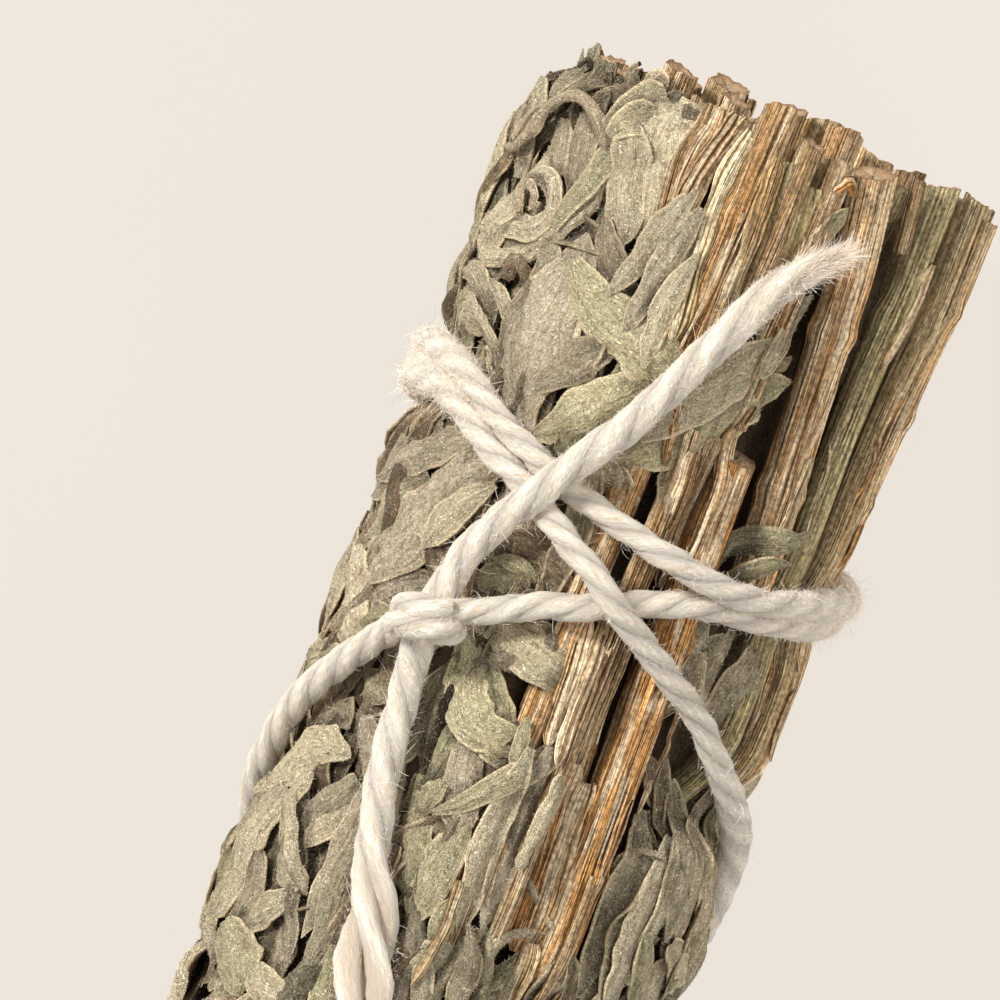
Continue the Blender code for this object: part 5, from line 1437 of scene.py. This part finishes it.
def fibres(pieces, root, course, across, length, curl, wide, parts):
    """Thin ribbons that set out along course and curl towards across, each in a number of parts."""
    ribbon = np.cross(course, across) * wide
    rows = []
    for k in range(parts):
        t = k / parts
        bent = curl * t
        middle = root + length * (course * np.sin(bent) + across * (1 - np.cos(bent))) / curl
        rows += [middle - ribbon * (1 - 0.3 * t), middle + ribbon * (1 - 0.3 * t)]
    rows.append(root + length * (course * np.sin(curl) + across * (1 - np.cos(curl))) / curl)
    verts = np.stack(rows, axis=1)
    verts[..., 2] = np.maximum(verts[..., 2], 0.03)
    base = (np.arange(len(root)) * (2 * parts + 1))[:, None]
    quads = [base + np.array([k, k + 1, k + 3, k + 2]) for k in range(0, 2 * parts - 2, 2)]
    last = 2 * parts - 2
    pieces.add(verts, np.concatenate(quads), base + np.array([[last, last + 1, last + 2]]))


def unit(rows):
    return rows / (np.linalg.norm(rows, axis=1)[:, None] + 1e-9)


def fluff(pieces, line, size, count, longest, source, weight=None, parts=4):
    """Loose fibres that stand off the string, more of them where weight is greater."""
    tangent, normal, side = frames(line)
    weight = np.ones(len(line)) if weight is None else weight
    at = source.choice(len(line) - 1, count, p=weight[:-1] / weight[:-1].sum())
    turn = source.uniform(0, 2 * math.pi, count)
    out = np.cos(turn)[:, None] * normal[at] + np.sin(turn)[:, None] * side[at]
    around = -np.sin(turn)[:, None] * normal[at] + np.cos(turn)[:, None] * side[at]
    on = tangent[at] * source.uniform(0, TWINE_STEP, count)[:, None]
    root = line[at] + on + out * (0.98 * size[at])[:, None]
    length = (longest * source.power(0.6, count) + 0.14)[:, None]
    course = tangent[at] * source.normal(0, 0.9, count)[:, None]
    course = course + around * source.normal(0, 0.8, count)[:, None]
    course = unit(course + out * source.uniform(0.1, 0.8, count)[:, None])
    across = unit(np.cross(course, source.normal(0, 1, (count, 3))))
    curl = source.uniform(0.3, 3.4, count)[:, None]
    widest = (0.009, 0.016) if parts > 2 else (0.010, 0.019)
    wide = source.uniform(*widest, count)[:, None]
    fibres(pieces, root, course, across, length, curl, wide, parts)


def tassel(pieces, line, size, count, source):
    """The frayed end: fibres that spread from the string's last few millimetres."""
    tangent, normal, side = frames(line)
    at = source.integers(0, 8, count)
    turn = source.uniform(0, 2 * math.pi, count)
    out = np.cos(turn)[:, None] * normal[at] + np.sin(turn)[:, None] * side[at]
    root = line[at] + out * (size[at] * source.uniform(0.2, 1.0, count))[:, None]
    course = -tangent[at] + out * source.uniform(0.0, 0.55, count)[:, None]
    course = unit(course + source.normal(0, 0.12, (count, 3)))
    across = unit(np.cross(course, source.normal(0, 1, (count, 3))))
    length = source.uniform(0.4, 2.4, count)[:, None]
    curl = source.uniform(0.1, 1.6, count)[:, None]
    wide = source.uniform(0.010, 0.018, count)[:, None]
    fibres(pieces, root, course, across, length, curl, wide, 4)


# How the first length changes, each as mm along it and the value there: it is frayed at its end, and it lies
# flat and wide where it goes back over itself below the knot
WIDTH_AT = (
    [0, 1.5, 4, 10, 30, 44, 50, 56, 58, 60.5, 63, 68, 76, 88, 95],
    [0.40, 0.85, 1.18, 1.14, 1.08, 1.08, 1.12, 1.22, 1.55, 1.95, 2.35, 2.2, 1.6, 1.1, 1.0],
)
SPREAD_AT = ([0, 3, 8, 54, 60, 70, 84, 95], [0.7, 0.45, 0.28, 0.30, 0.62, 0.66, 0.40, 0.30])
SQUASH_AT = ([54, 62, 72, 90], [0.0, 0.5, 0.45, 0.0])
PITCH_AT = ([0, 6, 14, 40, 48, 56, 74, 84, 95], [-30, -20, -13, -10, -11, -18, -26, -14, -9.5])
PITCH = -9.5

# A patch of felted fibres that joins the two passes at the left edge, as d and angle
FELT_AT = ([23.0, 23.0, 23.0, 23.2, 23.6], [258, 270, 284, 296, 304])


def first_length(strands, fuzz, halo, source):
    """From the frayed end past the knot, round the far end and back."""
    points = twine_points(ROUTES[0])
    spans = np.linspace(0, np.linalg.norm(np.diff(points, axis=0), axis=1).sum(), 200)
    width, pitch = np.interp(spans, *WIDTH_AT), np.interp(spans, *PITCH_AT)
    spread, squash = np.interp(spans, *SPREAD_AT), np.interp(spans, *SQUASH_AT)
    line, run, size = ply_meshes(strands, points, width, pitch, source, spread, squash)
    weight = 0.15 + 2.5 * (run < 9) + 1.0 * (run < 80)
    fluff(fuzz, line, size, 2200, 1.9, source, weight)
    fluff(halo, line, size, 9000, 0.42, source, weight, 2)
    tassel(fuzz, line, size, 1500, source)


def second_length(strands, fuzz, halo, source):
    """The two passes round the bundle. At its sides the plies merge, and the nap is thick."""
    points = twine_points(ROUTES[1])
    beside = np.abs(resampled(points, TWINE_STEP)[0][:, 1] - CAD_SHIFT[1])
    merged = np.clip((beside - 12.0) / 3.0, 0.0, 1.0)
    width = 0.90 + 0.16 * merged
    line, _, size = ply_meshes(strands, points, width, [PITCH], source, 0.29 - 0.19 * merged)
    in_front = (line[:, 0] > 20) * (line[:, 2] > 8)
    left = np.exp(-(((line[:, 1] - 15.0) / 3.0) ** 2)) * in_front
    right = np.exp(-(((line[:, 1] + 15.0) / 4.0) ** 2)) * in_front
    weight = 0.1 + 1.0 * (line[:, 2] > 14) + 8 * left + 6 * right
    fluff(fuzz, line, size, 5000, 1.9, source, weight)
    fluff(halo, line, size, 24000, 0.60, source, weight, 2)


def twine():
    """Both lengths, the felted patch and the knot's round turn."""
    source = np.random.default_rng(17)
    strands, fuzz, halo = Pieces(), Pieces(), Pieces()
    first_length(strands, fuzz, halo, source)
    second_length(strands, fuzz, halo, source)
    felt = place(*FELT_AT, TWINE_BED - 0.1)
    line, _, size = ply_meshes(strands, felt, [0.4, 1.0, 1.1, 1.0, 0.4], [-20], source, [0.1])
    fluff(halo, line, size, 3500, 0.8, source, None, 2)
    line, _, size = ply_meshes(strands, knot_points(), [0.98], [-8], source)
    fluff(halo, line, size, 1400, 0.5, source, None, 2)
    strands.build("twine_plies", [TWINE], "cotton_twine", ["binding_twine"])
    fuzz.build("twine_fluff", [TWINE_HAIR], "cotton_twine", smooth=False)
    halo.build("twine_nap", [TWINE_HAIR], "cotton_twine", smooth=False)


twine()


# Floor, camera and light

TILT = math.radians(3.0)
ROLL = math.radians(21.65)
PIXELS_PER_MM = 14.7
DISTANCE = 900.0
LOOK_D = 29.8
LOOK_Y = 7.69
LOOK_Z = 21.0
KEY_LIGHT = 3.3
FILL_LIGHT = 1.1
ROOM_LIGHT = 0.47


def camera_axes():
    """The camera's right, up and back."""
    forward = Vector((-math.sin(TILT), 0.0, -math.cos(TILT)))
    right = Vector((0.0, -1.0, 0.0))
    up = right.cross(forward)
    turned_up = math.cos(ROLL) * up - math.sin(ROLL) * right
    turned_right = math.cos(ROLL) * right + math.sin(ROLL) * up
    return turned_right, turned_up, -forward


def add_camera():
    """A long lens almost straight above the bundle, turned so that it runs up to the right."""
    right, up, back = camera_axes()
    target = Vector((HALF_LENGTH - LOOK_D + CAD_SHIFT[0], LOOK_Y + CAD_SHIFT[1], LOOK_Z))
    data = bpy.data.cameras.new("camera")
    data.sensor_width = 36.0
    data.lens = PIXELS_PER_MM * DISTANCE * 36.0 / 1000.0
    data.clip_start = 0.01
    data.clip_end = 20.0
    camera = bpy.data.objects.new("camera", data)
    matrix = Matrix((right, up, back)).transposed().to_4x4()
    matrix.translation = (target + back * DISTANCE) * MM
    camera.matrix_world = matrix
    bpy.context.scene.collection.objects.link(camera)
    bpy.context.scene.camera = camera
    return right, up, back


def add_sun(name, direction, strength, angle, colour=(1, 1, 1)):
    data = bpy.data.lights.new(name, "SUN")
    data.energy = strength
    data.angle = math.radians(angle)
    data.color = colour
    light = bpy.data.objects.new(name, data)
    light.rotation_euler = direction.to_track_quat("Z", "Y").to_euler()
    bpy.context.scene.collection.objects.link(light)


def floor_material():
    """Pale paper lit from below, so that what lies on it throws hardly any shadow."""
    made, tree, shader = new_material("pale_paper", 0.95, 0.0)
    place_at = own_place(tree)
    grain = noise(tree, place_at, 30.0)
    clouds = noise(tree, place_at, 9.0, 1.0)
    colour = ramp(tree, grain, [(0.3, (0.058, 0.053, 0.048)), (0.7, (0.062, 0.057, 0.052))])
    glow = ramp(tree, clouds, [(0.3, (0.785, 0.728, 0.656)), (0.7, (0.80, 0.742, 0.669))])
    tree.links.new(colour, shader.inputs["Base Color"])
    tree.links.new(glow, shader.inputs["Emission Color"])
    shader.inputs["Emission Strength"].default_value = 1.0
    return made


def add_floor():
    bpy.ops.mesh.primitive_plane_add(size=4.0, location=(0, 0, 0))
    floor = bpy.context.object
    floor.name = "floor"
    floor.data.materials.append(floor_material())


def studio():
    right, up, back = add_camera()
    add_floor()
    add_sun("key", -0.8 * right + 0.75 * up + 0.85 * back, KEY_LIGHT, 16, (1.0, 0.98, 0.95))
    add_sun("fill", 0.7 * right - 0.1 * up + 1.2 * back, FILL_LIGHT, 60, (1.0, 0.97, 0.94))
    world = bpy.data.worlds.new("world")
    world.use_nodes = True
    sky = world.node_tree.nodes["Background"]
    sky.inputs["Color"].default_value = (1.0, 0.98, 0.95, 1.0)
    sky.inputs["Strength"].default_value = ROOM_LIGHT
    bpy.context.scene.world = world
    bpy.context.scene.view_settings.view_transform = "Standard"


studio()
